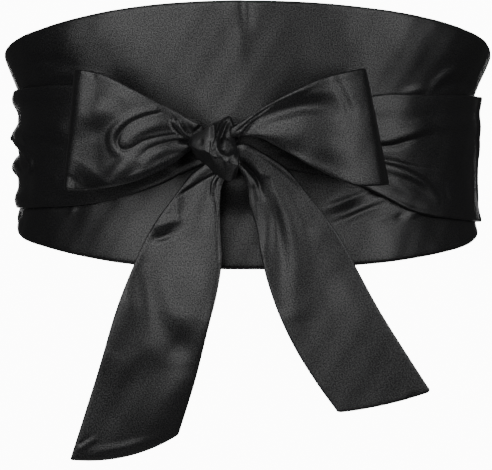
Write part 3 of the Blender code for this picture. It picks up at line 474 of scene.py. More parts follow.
# The floor: rings of its flat part, the radius that it rises from, that of its wall, and the wall's height
FLOOR_RINGS, BOWL_FLAT, BOWL_WALL, BOWL_TOP = (0.02, 0.5, 1.2, 2.0), 2.6, 3.9, 4.2
BOWL_RINGS, BOWL_SIDES = 13, 96
FLOOR_GLOW, FLOOR_ROUGHNESS, SPECK_SCALE, SPECK_SHADE = 12.0, 0.9, 900.0, 0.97


class ClothSettings(PropertyGroup):
    """The satin's size and finish."""

    colour: FloatVectorProperty(
        name="Satin colour", description="Colour of the satin's threads", subtype="COLOR",
        default=(0.0040, 0.0040, 0.0044), min=0.0, max=1.0,
    )
    worn_colour: FloatVectorProperty(
        name="Colour of the fuller threads", description="Colour where the weave catches more light",
        subtype="COLOR", default=(0.0085, 0.0085, 0.0090), min=0.0, max=1.0,
    )
    roughness: FloatProperty(
        name="Roughness", description="How far the satin spreads its shine", subtype="FACTOR",
        default=0.36, min=0.05, max=1.0,
    )
    sheen: FloatProperty(
        name="Sheen", description="How strongly the nap catches light at a glance", subtype="FACTOR",
        default=0.02, min=0.0, max=1.0,
    )
    thickness: FloatProperty(
        name="Thickness", description="Thickness of the doubled cloth", unit="LENGTH",
        default=0.0012, min=0.0006, max=0.0022,
    )
    edge_roll: FloatProperty(
        name="Edge roll", description="Width over which a turned edge is rounded", unit="LENGTH",
        default=0.0008, min=0.0003, max=0.002,
    )
    fold_depth: FloatProperty(
        name="Fold depth", description="Share of the folds' real height", subtype="FACTOR",
        default=1.0, min=0.0, max=1.3,
    )
    mesh_step: FloatProperty(
        name="Mesh step", description="Distance between the mesh's points in the bow", unit="LENGTH",
        default=0.0010, min=0.0007, max=0.004,
    )
    thread: FloatProperty(
        name="Thread", description="Width of one thread of the weave", unit="LENGTH",
        default=0.00028, min=0.0001, max=0.002,
    )
    grain: FloatProperty(
        name="Grain", description="Size of the weave's pebbly grain", unit="LENGTH",
        default=0.00072, min=0.0002, max=0.004,
    )


class StageSettings(PropertyGroup):
    """The studio that the sash is shown in."""

    floor_colour: FloatVectorProperty(
        name="Floor colour", description="Colour of the plain pale floor", subtype="COLOR",
        default=(0.86, 0.86, 0.85), min=0.0, max=1.0,
    )
    floor_height: FloatProperty(
        name="Floor height", description="Height of the floor below the waist's middle", unit="LENGTH",
        default=-1.05, min=-2.0, max=-0.2,
    )
    light: FloatProperty(
        name="Light", description="Share of the studio lights' full power", subtype="FACTOR",
        default=1.0, min=0.0, max=3.0,
    )
    lens: FloatProperty(
        name="Lens", description="Focal length of the camera", unit="CAMERA",
        default=170.6, min=35.0, max=300.0,
    )


def ease(start, end, value):
    """0 before start, 1 after end, and a smooth rise between them."""
    share = np.clip((np.asarray(value, float) - start) / (end - start), 0.0, 1.0)
    return share * share * (3.0 - 2.0 * share)


def bump(distance, half_width):
    """1 at no distance, and smoothly 0 from half_width on."""
    share = np.clip(np.abs(distance) / half_width, 0.0, 1.0)
    return np.cos(math.pi / 2.0 * share) ** 2


def smooth_through(table, places):
    """Rows of a table at fractional places, on a smooth curve through its rows."""
    table = np.asarray(table, float)
    places = np.asarray(places, float)
    i = np.clip(np.floor(places).astype(int), 0, len(table) - 2)
    t = (places - i)[:, None]
    a, b = table[np.maximum(i - 1, 0)], table[i]
    c, d = table[i + 1], table[np.minimum(i + 2, len(table) - 1)]
    return (
        b + t / 2.0 * (c - a) + t**2 / 2.0 * (2.0 * a - 5.0 * b + 4.0 * c - d)
        + t**3 / 2.0 * (3.0 * b - 3.0 * c + d - a)
    )


def flare(turn, z):
    """How far the waist widens towards the ribs above and the hips below, less in front and behind."""
    above = TOP_FLARE * ease(*TOP_FLARE_RANGE, z)
    below = BOTTOM_FLARE * ease(*BOTTOM_FLARE_RANGE, z)
    straight = TOP_FLARE * np.clip(z / FLARE_STRAIGHT_TO, 0.0, 1.0) + below
    sideways = np.sin(turn) ** 2
    return FLARE_SHARE_IN_FRONT * (1.0 - sideways) * straight + sideways * (above + below)


def waist_points(angle, z, out):
    """Points round the waist, in degrees from the front towards +X, that stand out from it."""
    turn = np.radians(angle)
    wider = flare(turn, z) + out
    fuller = RIGHT_FULLNESS * (np.sin(turn) > 0.0)
    across = (WAIST_HALF_WIDTH + fuller + wider) * np.sin(turn)
    deep = -(WAIST_HALF_DEPTH + wider) * np.cos(turn)
    return np.stack(np.broadcast_arrays(across, deep, z), axis=-1)


ROUND_ANGLES = np.arange(-ROUND_LAST_ANGLE, ROUND_LAST_ANGLE + ROUND_STEP, ROUND_STEP)


def round_lengths():
    """The length round the waist up to each of ROUND_ANGLES, 0 at the front."""
    turn = np.radians(ROUND_ANGLES)
    wide, deep = WAIST_HALF_WIDTH + ROUND_OUT, WAIST_HALF_DEPTH + ROUND_OUT
    speed = np.hypot(wide * np.cos(turn), deep * np.sin(turn))
    steps = (speed[1:] + speed[:-1]) / 2.0 * np.diff(turn)
    length = np.concatenate(([0.0], np.cumsum(steps)))
    return length - np.interp(0.0, ROUND_ANGLES, length)


ROUND_LENGTHS = round_lengths()


def length_at(angle):
    """The length round the waist at an angle."""
    return np.interp(angle, ROUND_ANGLES, ROUND_LENGTHS)


def angle_at(length):
    """The angle at a length round the waist."""
    return np.interp(length, ROUND_LENGTHS, ROUND_ANGLES)


def round_folds(laid):
    """Folds whose paths are given in angles, with the angles turned into millimetres round the waist."""
    return [
        fold._replace(path=tuple((float(length_at(a)) / MM, z) for a, z in fold.path)) for fold in laid
    ]


def fold_lift(laid, across, up):
    """How far the folds lift the cloth, in metres, at these places in millimetres."""
    lift = np.zeros(across.shape)
    for fold in laid:
        path = np.array(fold.path, float)
        line = smooth_through(path, np.linspace(0.0, len(path) - 1.0, FOLD_STEPS * (len(path) - 1) + 1))
        reach = max(fold.first_half, fold.last_half) * (1.0 + abs(fold.lean))
        low, high = line.min(axis=0) - reach, line.max(axis=0) + reach
        near = (across > low[0]) & (across < high[0]) & (up > low[1]) & (up < high[1])
        if not near.any():
            continue
        point = np.stack((across[near], up[near]), axis=-1)
        distance = np.full(len(point), np.inf)
        along, side = np.zeros(len(point)), np.zeros(len(point))
        for k in range(len(line) - 1):
            run = line[k + 1] - line[k]
            t = np.clip((point - line[k]) @ run / (run @ run), 0.0, 1.0)
            off = point - line[k] - t[:, None] * run
            off_by = np.hypot(off[:, 0], off[:, 1])
            closer = off_by < distance
            distance[closer] = off_by[closer]
            along[closer] = (k + t[closer]) / (len(line) - 1.0)
            side[closer] = np.sign(run[0] * off[closer, 1] - run[1] * off[closer, 0])
        height = fold.start + (fold.middle - fold.start) * ease(0.0, 0.5, along)
        height = height + (fold.end - fold.middle) * ease(0.5, 1.0, along)
        half = fold.first_half + (fold.last_half - fold.first_half) * along
        half = half * (1.0 + fold.lean * side)
        lift[near] += height * bump(distance, half) * MM
    return lift


def uneven_lift(across, up, phase):
    """The broad unevenness of the cloth, in metres, at these places in millimetres."""
    lift = np.zeros(across.shape)
    for height, waves_across, waves_up, start in UNEVENNESS:
        turn = 2.0 * math.pi * MM * (waves_across * across + waves_up * up) + start + phase
        lift += height * MM * np.sin(turn)
    return lift


def gather_lift(ridges, share, spread, gather, width):
    """How far the gathered ridges lift the cloth at these shares of its width. spread is 0 by the knot."""
    lift = np.zeros(share.shape)
    for far, near, far_half, near_half, part in ridges:
        crest = near + (far - near) * spread
        half = near_half + (far_half - near_half) * spread
        tightest = 2.0 * (half * width / math.pi) ** 2 / TIGHTEST_FOLD
        lift += np.minimum(gather * part, tightest) * bump(share - crest, half)
    return lift


def places_along(length, step, roll, start_rolled, end_rolled):
    """Distances along a length: close together by a rolled end, and evenly spaced between."""
    edge = np.array(EDGE_PLACES) * roll
    start = edge[:-1] if start_rolled else np.zeros(0)
    end = length - edge[-2::-1] if end_rolled else np.zeros(0)
    first = edge[-1] if start_rolled else 0.0
    last = length - edge[-1] if end_rolled else length
    middle = np.linspace(first, last, max(3, int(round((last - first) / step)) + 1))
    return np.concatenate((start, middle, end))


def places_across(width, step, roll):
    """For each width, distances from its lower edge: close together by both edges. One row a width."""
    edge = np.array(EDGE_PLACES) * roll
    count = max(8, int(round((float(np.max(width)) - 2.0 * edge[-1]) / step)) + 1)
    width = np.asarray(width, float)[:, None]
    low = np.broadcast_to(edge, (len(width), len(edge)))
    middle = edge[-1] + (width - 2.0 * edge[-1]) * np.linspace(0.0, 1.0, count)[None, 1:-1]
    return np.concatenate((low, middle, width - edge[::-1]), axis=1)


def half_thickness(from_edge, cloth):
    """Half the cloth's thickness: round at its rolled edge, a little full beside it, then even."""
    roll = cloth.edge_roll
    rounded = np.sqrt(1.0 - (1.0 - np.clip(from_edge / roll, 0.0, 1.0)) ** 2)
    fuller = bump(from_edge - EDGE_FULLEST_AT * roll, EDGE_FULLNESS_HALF * roll)
    return cloth.thickness / 2.0 * rounded * (1.0 + EDGE_FULLNESS * fuller)


def edge_fall(from_edge, share):
    """How far the cloth falls back at a distance from its turned edge."""
    return -share * EDGE_FALL * (1.0 - np.clip(from_edge / EDGE_FALL_WIDTH, 0.0, 1.0)) ** 2


def unit(vectors):
    """The vectors, made 1 long."""
    return vectors / np.maximum(np.linalg.norm(vectors, axis=-1, keepdims=True), 1e-12)


def cloth_normals(grid):
    """The direction square to the cloth at each point of a grid of points."""
    return unit(np.cross(np.gradient(grid, axis=0), np.gradient(grid, axis=1)))


def put_in_scene(name, data):
    """A new object of the scene."""
    placed = bpy.data.objects.new(name, data)
    bpy.context.scene.collection.objects.link(placed)
    return placed


def cloth_piece(name, points, faces, flat_places):
    """A smooth mesh object, with the place of each point on the flat cloth as its UV map, in metres."""
    data = bpy.data.meshes.new(name)
    data.from_pydata(points.tolist(), [], faces)
    data.validate()
    layer = data.uv_layers.new(name="flat_cloth")
    corners = np.zeros(len(data.loops), dtype=np.int32)
    data.loops.foreach_get("vertex_index", corners)
    layer.data.foreach_set("uv", flat_places[corners].astype(np.float32).ravel())
    data.shade_smooth()
    if len(data.polygons) != len(faces):
        raise RuntimeError(name + ": some of its faces are not sound")
    return put_in_scene(name, data)


def shell(name, grid, half, along, across):
    """A closed thin shell of cloth round a grid of points, as thick as twice half. along and across are
    the grid's places on the flat cloth, whose back layer is mapped beside the front one."""
    normals = cloth_normals(grid)
    columns, rows = half.shape
    outer = np.arange(columns * rows).reshape(columns, rows)
    inner = outer.copy()
    inner[1:-1, 1:-1] = columns * rows + np.arange((columns - 2) * (rows - 2)).reshape(columns - 2, -1)
    half = half.copy()
    half[0], half[-1], half[:, 0], half[:, -1] = 0.0, 0.0, 0.0, 0.0
    front = (grid + normals * half[..., None]).reshape(-1, 3)
    back = (grid - normals * half[..., None])[1:-1, 1:-1].reshape(-1, 3)
    flat = np.stack(np.broadcast_arrays(along, across), axis=-1)
    faces = []
    for side, turned in ((outer, False), (inner, True)):
        quads = np.stack((side[:-1, :-1], side[1:, :-1], side[1:, 1:], side[:-1, 1:]), axis=-1)
        quads = quads.reshape(-1, 4)
        faces += (quads[:, ::-1] if turned else quads).tolist()
    places = np.concatenate((flat.reshape(-1, 2), flat[1:-1, 1:-1].reshape(-1, 2) + (0.0, BACK_LAYER_AT)))
    return cloth_piece(name, np.concatenate((front, back)), faces, places)


def ring_faces(rings, sides):
    """The numbers of the points of each ring, the same a point further round, and the faces between rings."""
    index = np.arange(rings * sides).reshape(rings, sides)
    after = np.roll(index, -1, axis=1)
    quads = np.stack((index[:-1], index[1:], after[1:], after[:-1]), axis=-1)
    return index, after, quads.reshape(-1, 4).tolist()


def dress(piece, node, satin):
    """Puts the satin on a piece, which stands for a node, hangs it from the root and hides the node's solid.
    """
    piece.data.materials.append(satin)
    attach(piece, "root")
    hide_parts(node)


def sew(name, node, grid, from_edge, along, across, cloth, satin):
    """Makes one piece of cloth on its grid of points."""
    piece = shell(name, grid, half_thickness(from_edge, cloth), along[:, None], across)
    dress(piece, node, satin)


def make_front_panel(cloth, satin):
    """The shaped panel, open behind between its two ends."""
    end = float(length_at(PANEL_END_ANGLE))
    along = places_along(2.0 * end, PANEL.along * cloth.mesh_step, cloth.edge_roll, True, True)
    angle = angle_at(along - end)
    ahead = np.cos(np.radians(angle))
    half_height = PANEL_HALF_HEIGHT_AT_SIDE + PANEL_HALF_HEIGHT_GAIN * ahead
    half_height = half_height - PANEL_LEFT_TRIM * ease(*PANEL_LEFT_TRIM_ANGLES, -angle)
    height = 2.0 * half_height + PANEL_TOP_RISE * np.clip(ahead, 0.0, 1.0)
    across = places_across(height, PANEL.across * cloth.mesh_step, cloth.edge_roll)
    z = across - half_height[:, None]
    where, up = np.broadcast_arrays((along - end)[:, None] / MM, z / MM)
    lift = fold_lift(round_folds(PANEL_FOLDS), where, up)
    lift = lift + uneven_lift(where, up, PANEL.phase) * PANEL.uneven
    from_edge = np.minimum(across, height[:, None] - across)
    from_edge = np.minimum(from_edge, np.minimum(along, 2.0 * end - along)[:, None])
    out = PANEL_WALL / 2.0 - SUNK + cloth.fold_depth * lift + edge_fall(from_edge, PANEL.fall)
    grid = waist_points(angle[:, None], z, out)
    sew("panel_cloth", "front_panel", grid, from_edge, along, across, cloth, satin)


def make_tie_cloth(cloth, satin, name):
    """A tie from its seam, round the back, to the knot."""
    side, sections, ridges, laid = TIES[name]
    start, end = (float(length_at(sections[k][0])) for k in (0, -1))
    start -= TIE_SEAM_GAP
    along = places_along(start - end, TIE.along * cloth.mesh_step, cloth.edge_roll, True, False)
    angle = angle_at(start - along)
    angles = np.array([row[0] for row in sections], float)
    table = smooth_through(sections, np.interp(-angle, -angles, np.arange(len(sections)))) * TIE_UNITS
    top, bottom, layers, gather = (table[:, k][:, None] for k in (1, 2, 3, 4))
    width = top - bottom
    across = places_across(width[:, 0], TIE.across * cloth.mesh_step, cloth.edge_roll)
    z = bottom + across
    where, up = np.broadcast_arrays((side * (start - along))[:, None] / MM, z / MM)
    spread = ease(*RIDGES_SPREAD, angle)[:, None]
    gathered = TIE_GATHER_SHARE + (1.0 - TIE_GATHER_SHARE) * ease(*TIE_GATHERS_RETURN, angle)[:, None]
    lift = gathered * gather_lift(ridges, across / width, spread, gather, width)
    lift = lift + fold_lift(round_folds(laid), where, up)
    lift = lift + uneven_lift(where, up, TIE.phase + side) * TIE.uneven
    from_edge = np.minimum(np.minimum(across, width - across), along[:, None])
    out = layers * (PANEL_WALL + LAY_GAP) + TIE_WALL / 2.0 - SUNK + cloth.fold_depth * lift
    grid = waist_points(side * angle[:, None], z, out + edge_fall(from_edge, TIE.fall))
    sew(name + "_cloth", name, grid, from_edge, along, across, cloth, satin)


def ribbon(kind, sections, cloth, end_rolled):
    """A loop or tail before its folds: its grid of points, the distances along and across it, the share of
    its length, its width, the way from its lower to its upper edge, and the height of its gathers."""
    sections = np.array(sections, float) * MM
    count = len(sections) - 1
    fine = np.linspace(0.0, count, RIBBON_STEPS * count + 1)
    rows = smooth_through(sections, fine)
    middle = (rows[:, (0, 4, 1)] + rows[:, (2, 5, 3)]) / 2.0
    length = np.concatenate(([0.0], np.cumsum(np.linalg.norm(np.diff(middle, axis=0), axis=1))))
    along = places_along(length[-1], kind.along * cloth.mesh_step, cloth.edge_roll, False, end_rolled)
    places = np.interp(along, length, fine)
    table = smooth_through(sections, places)
    bottom = table[:, (2, 5, 3)]
    rise = table[:, (0, 4, 1)] - bottom
    width = np.linalg.norm(rise, axis=1)[:, None]
    across = places_across(width[:, 0], kind.across * cloth.mesh_step, cloth.edge_roll)
    grid = bottom[:, None] + rise[:, None] * (across / width)[..., None]
    return grid, along, across, (places / count)[:, None], width, rise, table[:, 6:]


def make_loop_cloth(cloth, satin, name):
    """One of the bow's loops, with its front layer's and its rear layer's folds."""
    side, sections, front_folds, rear_folds, end_swell = LOOPS[name]
    grid, along, across, share, width, _, gather = ribbon(LOOP, sections, cloth, False)
    spread = 1.0 - np.abs(2.0 * share - 1.0)
    rear = ease(*REAR_STARTS, share)
    lift = gather_lift(LOOP_RIDGES, across / width, spread, gather, width)
    lift = lift * (LOOP_GATHER_SHARE + (1.0 - LOOP_GATHER_SHARE) * rear)
    where, up = grid[..., 0] / MM, grid[..., 2] / MM
    front = (1.0 - rear) * (1.0 - ease(*FRONT_FOLDS_END, spread))
    lift = lift + front * fold_lift(front_folds, where, up) + rear * fold_lift(rear_folds, where, up)
    lift = lift + end_swell * bump(spread - LOOP_END_SWELL_AT, LOOP_END_SWELL_HALF) * (1.0 - rear)
    uneven = uneven_lift(where + REAR_SHIFT * rear, up, LOOP.phase + side) * LOOP.uneven
    lift = lift + uneven * ease(*LOOP_UNEVEN_FROM, spread)
    from_edge = np.minimum(across, width - across)
    lift = cloth.fold_depth * lift + edge_fall(from_edge, LOOP.fall)
    grid = grid + cloth_normals(grid) * (side * lift)[..., None]
    sew(name + "_cloth", name, grid, from_edge, along, across, cloth, satin)


def corner(distance, radius):
    """How far a rounded corner falls back at a distance from the side edge."""
    return radius - np.sqrt(np.maximum(radius**2 - np.clip(radius - distance, 0.0, radius) ** 2, 0.0))


def make_tail_cloth(cloth, satin, name):
    """One of the two tails that hang from the knot, with its cut end."""
    tail = TAILS[name]
    side = tail.side
    grid, along, across, share, width, rise, gather = ribbon(TAIL, tail.sections, cloth, True)
    down = unit(np.cross(np.array((0.0, side, 0.0)), rise))[:, None]
    bowed = tail.bow * ease(TAIL_BOW_STARTS, 1.0, share) * (1.0 - (2.0 * across / width - 1.0) ** 2)
    cut = corner(across, tail.low_corner) + corner(width - across, tail.high_corner)
    cut = cut * ease(along[-1] - TAIL_CORNER_LENGTH, along[-1], along)[:, None]
    grid = grid + down * bowed[..., None] - unit(np.gradient(grid, axis=0)) * cut[..., None]
    lift = gather_lift(TAIL_RIDGES, across / width, share, gather, width)
    where, up = grid[..., 0] / MM, grid[..., 2] / MM
    lift = TAIL_GATHER_SHARE * lift + fold_lift(tail.folds, where, up)
    lift = lift + uneven_lift(where, up, TAIL.phase + side) * TAIL.uneven
    turned = tail.upper_turn + (tail.lower_turn - tail.upper_turn) * ease(*TAIL_TURN_CHANGES, share)
    turned = turned * ease(*TAIL_TURN_STARTS, share)
    lift = lift + side * turned * (across - width / 2.0)
    last_part = np.clip(TAIL_PARTS * share - (TAIL_PARTS - 1.0), 0.0, 1.0)
    lift = lift - tail.falls_back * last_part**TAIL_FALL_POWER
    from_edge = np.minimum(np.minimum(across, width - across), (along[-1] - along)[:, None])
    lift = cloth.fold_depth * lift + edge_fall(from_edge, TAIL.fall)
    grid = grid + cloth_normals(grid) * (side * lift)[..., None]
    sew(name + "_cloth", name, grid, from_edge, along, across, cloth, satin)


def wrap_face(height, crest, rim):
    """How far the wrap's face stands out above its crest, as a share of the crest. Its top is at 1."""
    share = np.clip((1.0 - height) / (1.0 - crest), 0.0, 1.0)
    swell = 1.0 - (1.0 - share) ** (WRAP_SWELL + rim)
    return rim * np.sqrt(np.clip(share / WRAP_RIM_WIDTH, 0.0, 1.0)) + (1.0 - rim) * swell


def make_knot_cloth(cloth, satin):
    """The knot: the turn of the tie that wraps the bow's middle, with its creases in front."""
    table = np.array(KNOT_RINGS, float) * MM
    step = KNOT.along * cloth.mesh_step
    rings = int((table[-1, 0] - table[0, 0]) / step)
    sides = 4 * int(KNOT_ROUND / step / 4)
    places = np.linspace(0.0, len(table) - 1, rings + 1)
    x, top, bottom, face, back = smooth_through(table, places).T[..., None]
    turn = np.linspace(-math.pi, math.pi, sides, endpoint=False)[None]
    height = np.sin(turn)
    place, crest_height, rim = (np.array(KNOT_CREST, float) * (MM, MM, 1.0)).T
    crest = (2.0 * np.interp(x, place, crest_height) - top - bottom) / (top - bottom)
    crest = np.clip(crest, *KNOT_CREST_LIMITS)
    under = 1.0 - np.clip((crest - height) / (crest + 1.0), 0.0, 1.0) ** WRAP_DRAWS_IN
    front = np.where(height > crest, wrap_face(height, crest, np.interp(x, place, rim)), under)
    y = KNOT_DEPTH - np.where(np.cos(turn) > 0.0, face * front, back * np.cos(turn))
    z = (top + bottom) / 2.0 + (top - bottom) / 2.0 * height
    grid = np.stack(np.broadcast_arrays(x, y, z), axis=-1)
    round_it = np.roll(grid, -1, axis=1) - np.roll(grid, 1, axis=1)
    normals = unit(np.cross(np.gradient(grid, axis=0), round_it))
    where, up = grid[..., 0] / MM, grid[..., 2] / MM
    in_front = ease(*KNOT_FRONT, np.cos(turn))
    lift = in_front * fold_lift(KNOT_FOLDS, where, up)
    lift = lift + (1.0 - in_front) * fold_lift(KNOT_REAR_FOLDS, where, up)
    grid = grid + normals * (cloth.fold_depth * lift)[..., None]
    index, after, faces = ring_faces(rings + 1, sides)
    first, last = (rings + 1) * sides, (rings + 1) * sides + 1
    faces += [[first, int(index[0, k]), int(after[0, k])] for k in range(sides)]
    faces += [[last, int(after[-1, k]), int(index[-1, k])] for k in range(sides)]
    middles = np.stack((grid[0].mean(axis=0), grid[-1].mean(axis=0)))
    points = np.concatenate((grid.reshape(-1, 3), middles))
    flat = np.stack(np.broadcast_arrays(x, KNOT_FLAT_RADIUS * turn), axis=-1).reshape(-1, 2)
    flat = np.concatenate((flat, [[float(x[0, 0]), 0.0], [float(x[-1, 0]), 0.0]]))
    dress(cloth_piece("knot_cloth", points, faces, flat), "knot", satin)


class Wire:
    """A number on a material's wires. Arithmetic on it adds the Math nodes that work it out."""

    def __init__(self, shader, socket):
        self.shader, self.socket = shader, socket

    def _math(self, operation, first, second):
        node = self.shader.add("ShaderNodeMath", {"operation": operation}, {0: first, 1: second})
        return Wire(self.shader, node.outputs[0])

    def __add__(self, other):
        return self._math("ADD", self, other)

    def __radd__(self, other):
        return self._math("ADD", other, self)

    def __sub__(self, other):
        return self._math("SUBTRACT", self, other)

    def __rsub__(self, other):
        return self._math("SUBTRACT", other, self)

    def __mul__(self, other):
        return self._math("MULTIPLY", self, other)

    def __rmul__(self, other):
        return self._math("MULTIPLY", other, self)


class Shader:
    """A material or world whose nodes are added one by one."""

    def __init__(self, owner):
        owner.use_nodes = True
        self.tree = owner.node_tree
        self.tree.nodes.clear()

    def add(self, kind, settings=None, inputs=None):
        """Adds a node: its settings first, then the values or links of its sockets."""
        node = self.tree.nodes.new(kind)
        for name, value in (settings or {}).items():
            setattr(node, name, value)
        for name, value in (inputs or {}).items():
            if isinstance(value, Wire):
                value = value.socket
            if isinstance(value, bpy.types.NodeSocket):
                self.tree.links.new(value, node.inputs[name])
            else:
                node.inputs[name].default_value = value
        return node

    def noise(self, at, size, detail, roughness):
        """Noise over the flat cloth, whose broadest features are of this size."""
        node = self.add("ShaderNodeTexNoise", {"noise_dimensions": "2D"}, {
            "Vector": at, "Scale": 1.0 / size, "Detail": detail, "Roughness": roughness,
        })
        return Wire(self, node.outputs[0])

    def mixed_colour(self, share, first, second):
        """The colour between two colours at this share."""
        inputs = {0: share, 6: (*first, 1.0), 7: (*second, 1.0)}
        return self.add("ShaderNodeMix", {"data_type": "RGBA"}, inputs).outputs[2]


def satin_material(cloth):
    """Black satin: threads that run along the strip, a pebbly grain over them, and a soft shine."""
    material = bpy.data.materials.new("black_satin_cloth")
    shader = Shader(material)
    flat = shader.add("ShaderNodeUVMap", {"uv_map": "flat_cloth"}).outputs["UV"]
    thread_size = (1.0 / (THREAD_LENGTH * cloth.thread), 1.0 / cloth.thread, 1.0)
    threads_at = shader.add("ShaderNodeVectorMath", {"operation": "MULTIPLY"}, {0: flat, 1: thread_size})
    threads = shader.noise(threads_at.outputs[0], 1.0, 1.0, 0.5)
    grain = shader.noise(flat, cloth.grain, 2.0, 0.6)
    patches = shader.noise(flat, PATCH_SIZE, 2.0, 0.5)
    ripples = shader.noise(flat, RIPPLE_SIZE, 1.0, 0.5)
    relief = THREAD_RELIEF * threads + GRAIN_RELIEF * grain + RIPPLE_RELIEF * ripples
    bumped = shader.add("ShaderNodeBump", None, {"Strength": 1.0, "Distance": MM, "Height": relief})
    colour = shader.mixed_colour(0.5 * grain + 0.5 * threads, cloth.colour, cloth.worn_colour)
    spread = cloth.roughness + PATCH_ROUGHNESS * (patches - 0.5) + GRAIN_ROUGHNESS * (grain - 0.5)
    shiny, dull = (shader.add("ShaderNodeBsdfPrincipled", None, {
        "Base Color": colour, "Roughness": spread, "Normal": bumped.outputs[0], "Metallic": 0.0,
        "IOR": THREAD_IOR, "Specular IOR Level": level,
        "Sheen Weight": cloth.sheen, "Sheen Roughness": NAP_ROUGHNESS,
    }) for level in SHINE)
    share = GRAIN_CONTRAST * (grain - 0.5) + 0.5
    surface = shader.add("ShaderNodeMixShader", None, {0: share, 1: dull.outputs[0], 2: shiny.outputs[0]})
    shader.add("ShaderNodeOutputMaterial", None, {"Surface": surface.outputs[0]})
    material.diffuse_color = (*cloth.colour, 1.0)
    return material


def the_satin():
    """The one satin that every piece is cut from."""
    found = bpy.data.materials.get("black_satin_cloth")
    return found if found else satin_material(bpy.context.scene.sash_cloth)


def make_floor(stage):
    """A plain pale floor that rises into a round wall far outside every view's camera."""
    rise = BOWL_WALL - BOWL_FLAT
    turn = np.linspace(0.0, math.pi / 2.0, BOWL_RINGS)
    radius = np.concatenate((FLOOR_RINGS, BOWL_FLAT + rise * np.sin(turn), [BOWL_WALL]))
    height = np.concatenate((np.zeros(len(FLOOR_RINGS)), rise * (1.0 - np.cos(turn)), [BOWL_TOP]))
    around = np.linspace(0.0, 2.0 * math.pi, BOWL_SIDES, endpoint=False)
    x, y = radius[:, None] * np.cos(around), radius[:, None] * np.sin(around)
    z = np.broadcast_to((height + stage.floor_height)[:, None], x.shape)
    index, _, faces = ring_faces(len(radius), BOWL_SIDES)
    data = bpy.data.meshes.new("studio_floor")
    data.from_pydata(np.stack((x, y, z), axis=-1).reshape(-1, 3).tolist(), [], faces + [index[0].tolist()])
    data.shade_smooth()
    floor = put_in_scene("studio_floor", data)
    material = bpy.data.materials.new("pale_floor")
    shader = Shader(material)
    speck = shader.add("ShaderNodeTexNoise", None, {"Scale": SPECK_SCALE, "Detail": 2.0})
    shaded = [SPECK_SHADE * c for c in stage.floor_colour]
    surface = shader.add("ShaderNodeBsdfPrincipled", None, {
        "Base Color": shader.mixed_colour(speck.outputs[0], shaded, stage.floor_colour),
        "Roughness": FLOOR_ROUGHNESS,
        "Emission Color": (1.0, 1.0, 0.99, 1.0), "Emission Strength": FLOOR_GLOW,
    })
    shader.add("ShaderNodeOutputMaterial", None, {"Surface": surface.outputs[0]})
    data.materials.append(material)
    floor.visible_glossy = False
    floor.visible_diffuse = False


def make_softbox(name, azimuth, elevation, distance, width, height, power):
    """One large soft light that faces the sash and isn't seen itself."""
    light = bpy.data.lights.new(name, "AREA")
    light.shape = "RECTANGLE"
    light.size, light.size_y, light.energy = width, height, power
    box = put_in_scene(name, light)
    a, e = math.radians(azimuth), math.radians(elevation)
    away = Vector((math.sin(a) * math.cos(e), -math.cos(a) * math.cos(e), math.sin(e)))
    box.location = TARGET + away * distance
    box.rotation_euler = away.to_track_quat("Z", "Y").to_euler()
    box.visible_camera = False


def make_world():
    """Dim, even light from all round: the studio's dark corners, which the satin's dark parts mirror."""
    world = bpy.data.worlds.new("studio_air")
    bpy.context.scene.world = world
    shader = Shader(world)
    air = shader.add("ShaderNodeBackground", None, {"Color": (1.0, 1.0, 1.0, 1.0), "Strength": AIR_LIGHT})
    shader.add("ShaderNodeOutputWorld", None, {"Surface": air.outputs[0]})


def make_camera(stage):
    """The camera of the front view: level, and a little below the waist's middle."""
    data = bpy.data.cameras.new("front_camera")
    data.lens, data.sensor_width, data.clip_end = stage.lens, SENSOR_WIDTH, CAMERA_SEES_TO
    camera = put_in_scene("front_camera", data)
    camera.location = CAMERA_PLACE
    camera.rotation_euler = (math.pi / 2.0, 0.0, 0.0)
    bpy.context.scene.camera = camera


class SASH_OT_make_panel(Operator):
    """Makes the shaped panel that goes round the front of the waist"""

    bl_idname = "sash.make_panel"
    bl_label = "Make Front Panel"

    def execute(self, context):
        make_front_panel(context.scene.sash_cloth, the_satin())
        return {"FINISHED"}


class SASH_OT_make_ties(Operator):
    """Makes the two ties that pass each other behind and come round over the panel"""

    bl_idname = "sash.make_ties"
    bl_label = "Make Ties"

    def execute(self, context):
        for name in TIES:
            make_tie_cloth(context.scene.sash_cloth, the_satin(), name)
        return {"FINISHED"}


class SASH_OT_make_bow_loops(Operator):
    """Makes the bow's two loops"""

    bl_idname = "sash.make_bow_loops"
    bl_label = "Make Bow Loops"

    def execute(self, context):
        for name in LOOPS:
            make_loop_cloth(context.scene.sash_cloth, the_satin(), name)
        return {"FINISHED"}


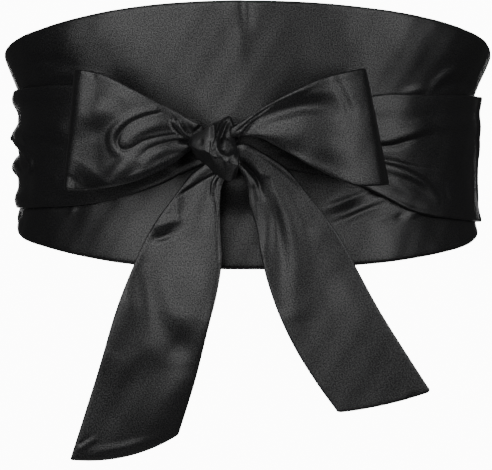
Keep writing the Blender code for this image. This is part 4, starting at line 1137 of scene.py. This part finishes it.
class SASH_OT_make_tails(Operator):
    """Makes the two tails that hang from the knot"""

    bl_idname = "sash.make_tails"
    bl_label = "Make Tails"

    def execute(self, context):
        for name in TAILS:
            make_tail_cloth(context.scene.sash_cloth, the_satin(), name)
        return {"FINISHED"}


class SASH_OT_make_knot(Operator):
    """Makes the knot in the bow's middle"""

    bl_idname = "sash.make_knot"
    bl_label = "Make Knot"

    def execute(self, context):
        make_knot_cloth(context.scene.sash_cloth, the_satin())
        return {"FINISHED"}


class SASH_OT_set_stage(Operator):
    """Sets up the floor, the lights, the surroundings and the camera"""

    bl_idname = "sash.set_stage"
    bl_label = "Set Stage"

    def execute(self, context):
        stage = context.scene.sash_stage
        make_floor(stage)
        for name, (azimuth, elevation, distance, width, height, power) in SOFTBOXES.items():
            make_softbox(name, azimuth, elevation, distance, width, height, power * stage.light)
        make_world()
        make_camera(stage)
        return {"FINISHED"}


OPERATORS = (
    SASH_OT_make_panel, SASH_OT_make_ties, SASH_OT_make_bow_loops, SASH_OT_make_tails,
    SASH_OT_make_knot, SASH_OT_set_stage,
)


class VIEW3D_PT_sash(Panel):
    """The sash's settings and the pieces that it is made of"""

    bl_label = "Satin Waist Sash"
    bl_space_type = "VIEW_3D"
    bl_region_type = "UI"
    bl_category = "Sash"

    def draw(self, context):
        for settings in (context.scene.sash_cloth, context.scene.sash_stage):
            box = self.layout.box()
            for name in settings.__annotations__:
                box.prop(settings, name)
        for operator in OPERATORS:
            self.layout.operator(operator.bl_idname)


CLASSES = (ClothSettings, StageSettings, *OPERATORS, VIEW3D_PT_sash)


def register():
    for kind in CLASSES:
        bpy.utils.register_class(kind)
    bpy.types.Scene.sash_cloth = PointerProperty(type=ClothSettings)
    bpy.types.Scene.sash_stage = PointerProperty(type=StageSettings)


def unregister():
    del bpy.types.Scene.sash_stage
    del bpy.types.Scene.sash_cloth
    for kind in reversed(CLASSES):
        bpy.utils.unregister_class(kind)


def main():
    """Makes the sash and its stage."""
    register()
    bpy.ops.sash.set_stage()
    bpy.ops.sash.make_panel()
    bpy.ops.sash.make_ties()
    bpy.ops.sash.make_bow_loops()
    bpy.ops.sash.make_tails()
    bpy.ops.sash.make_knot()


if __name__ == "__main__":
    main()
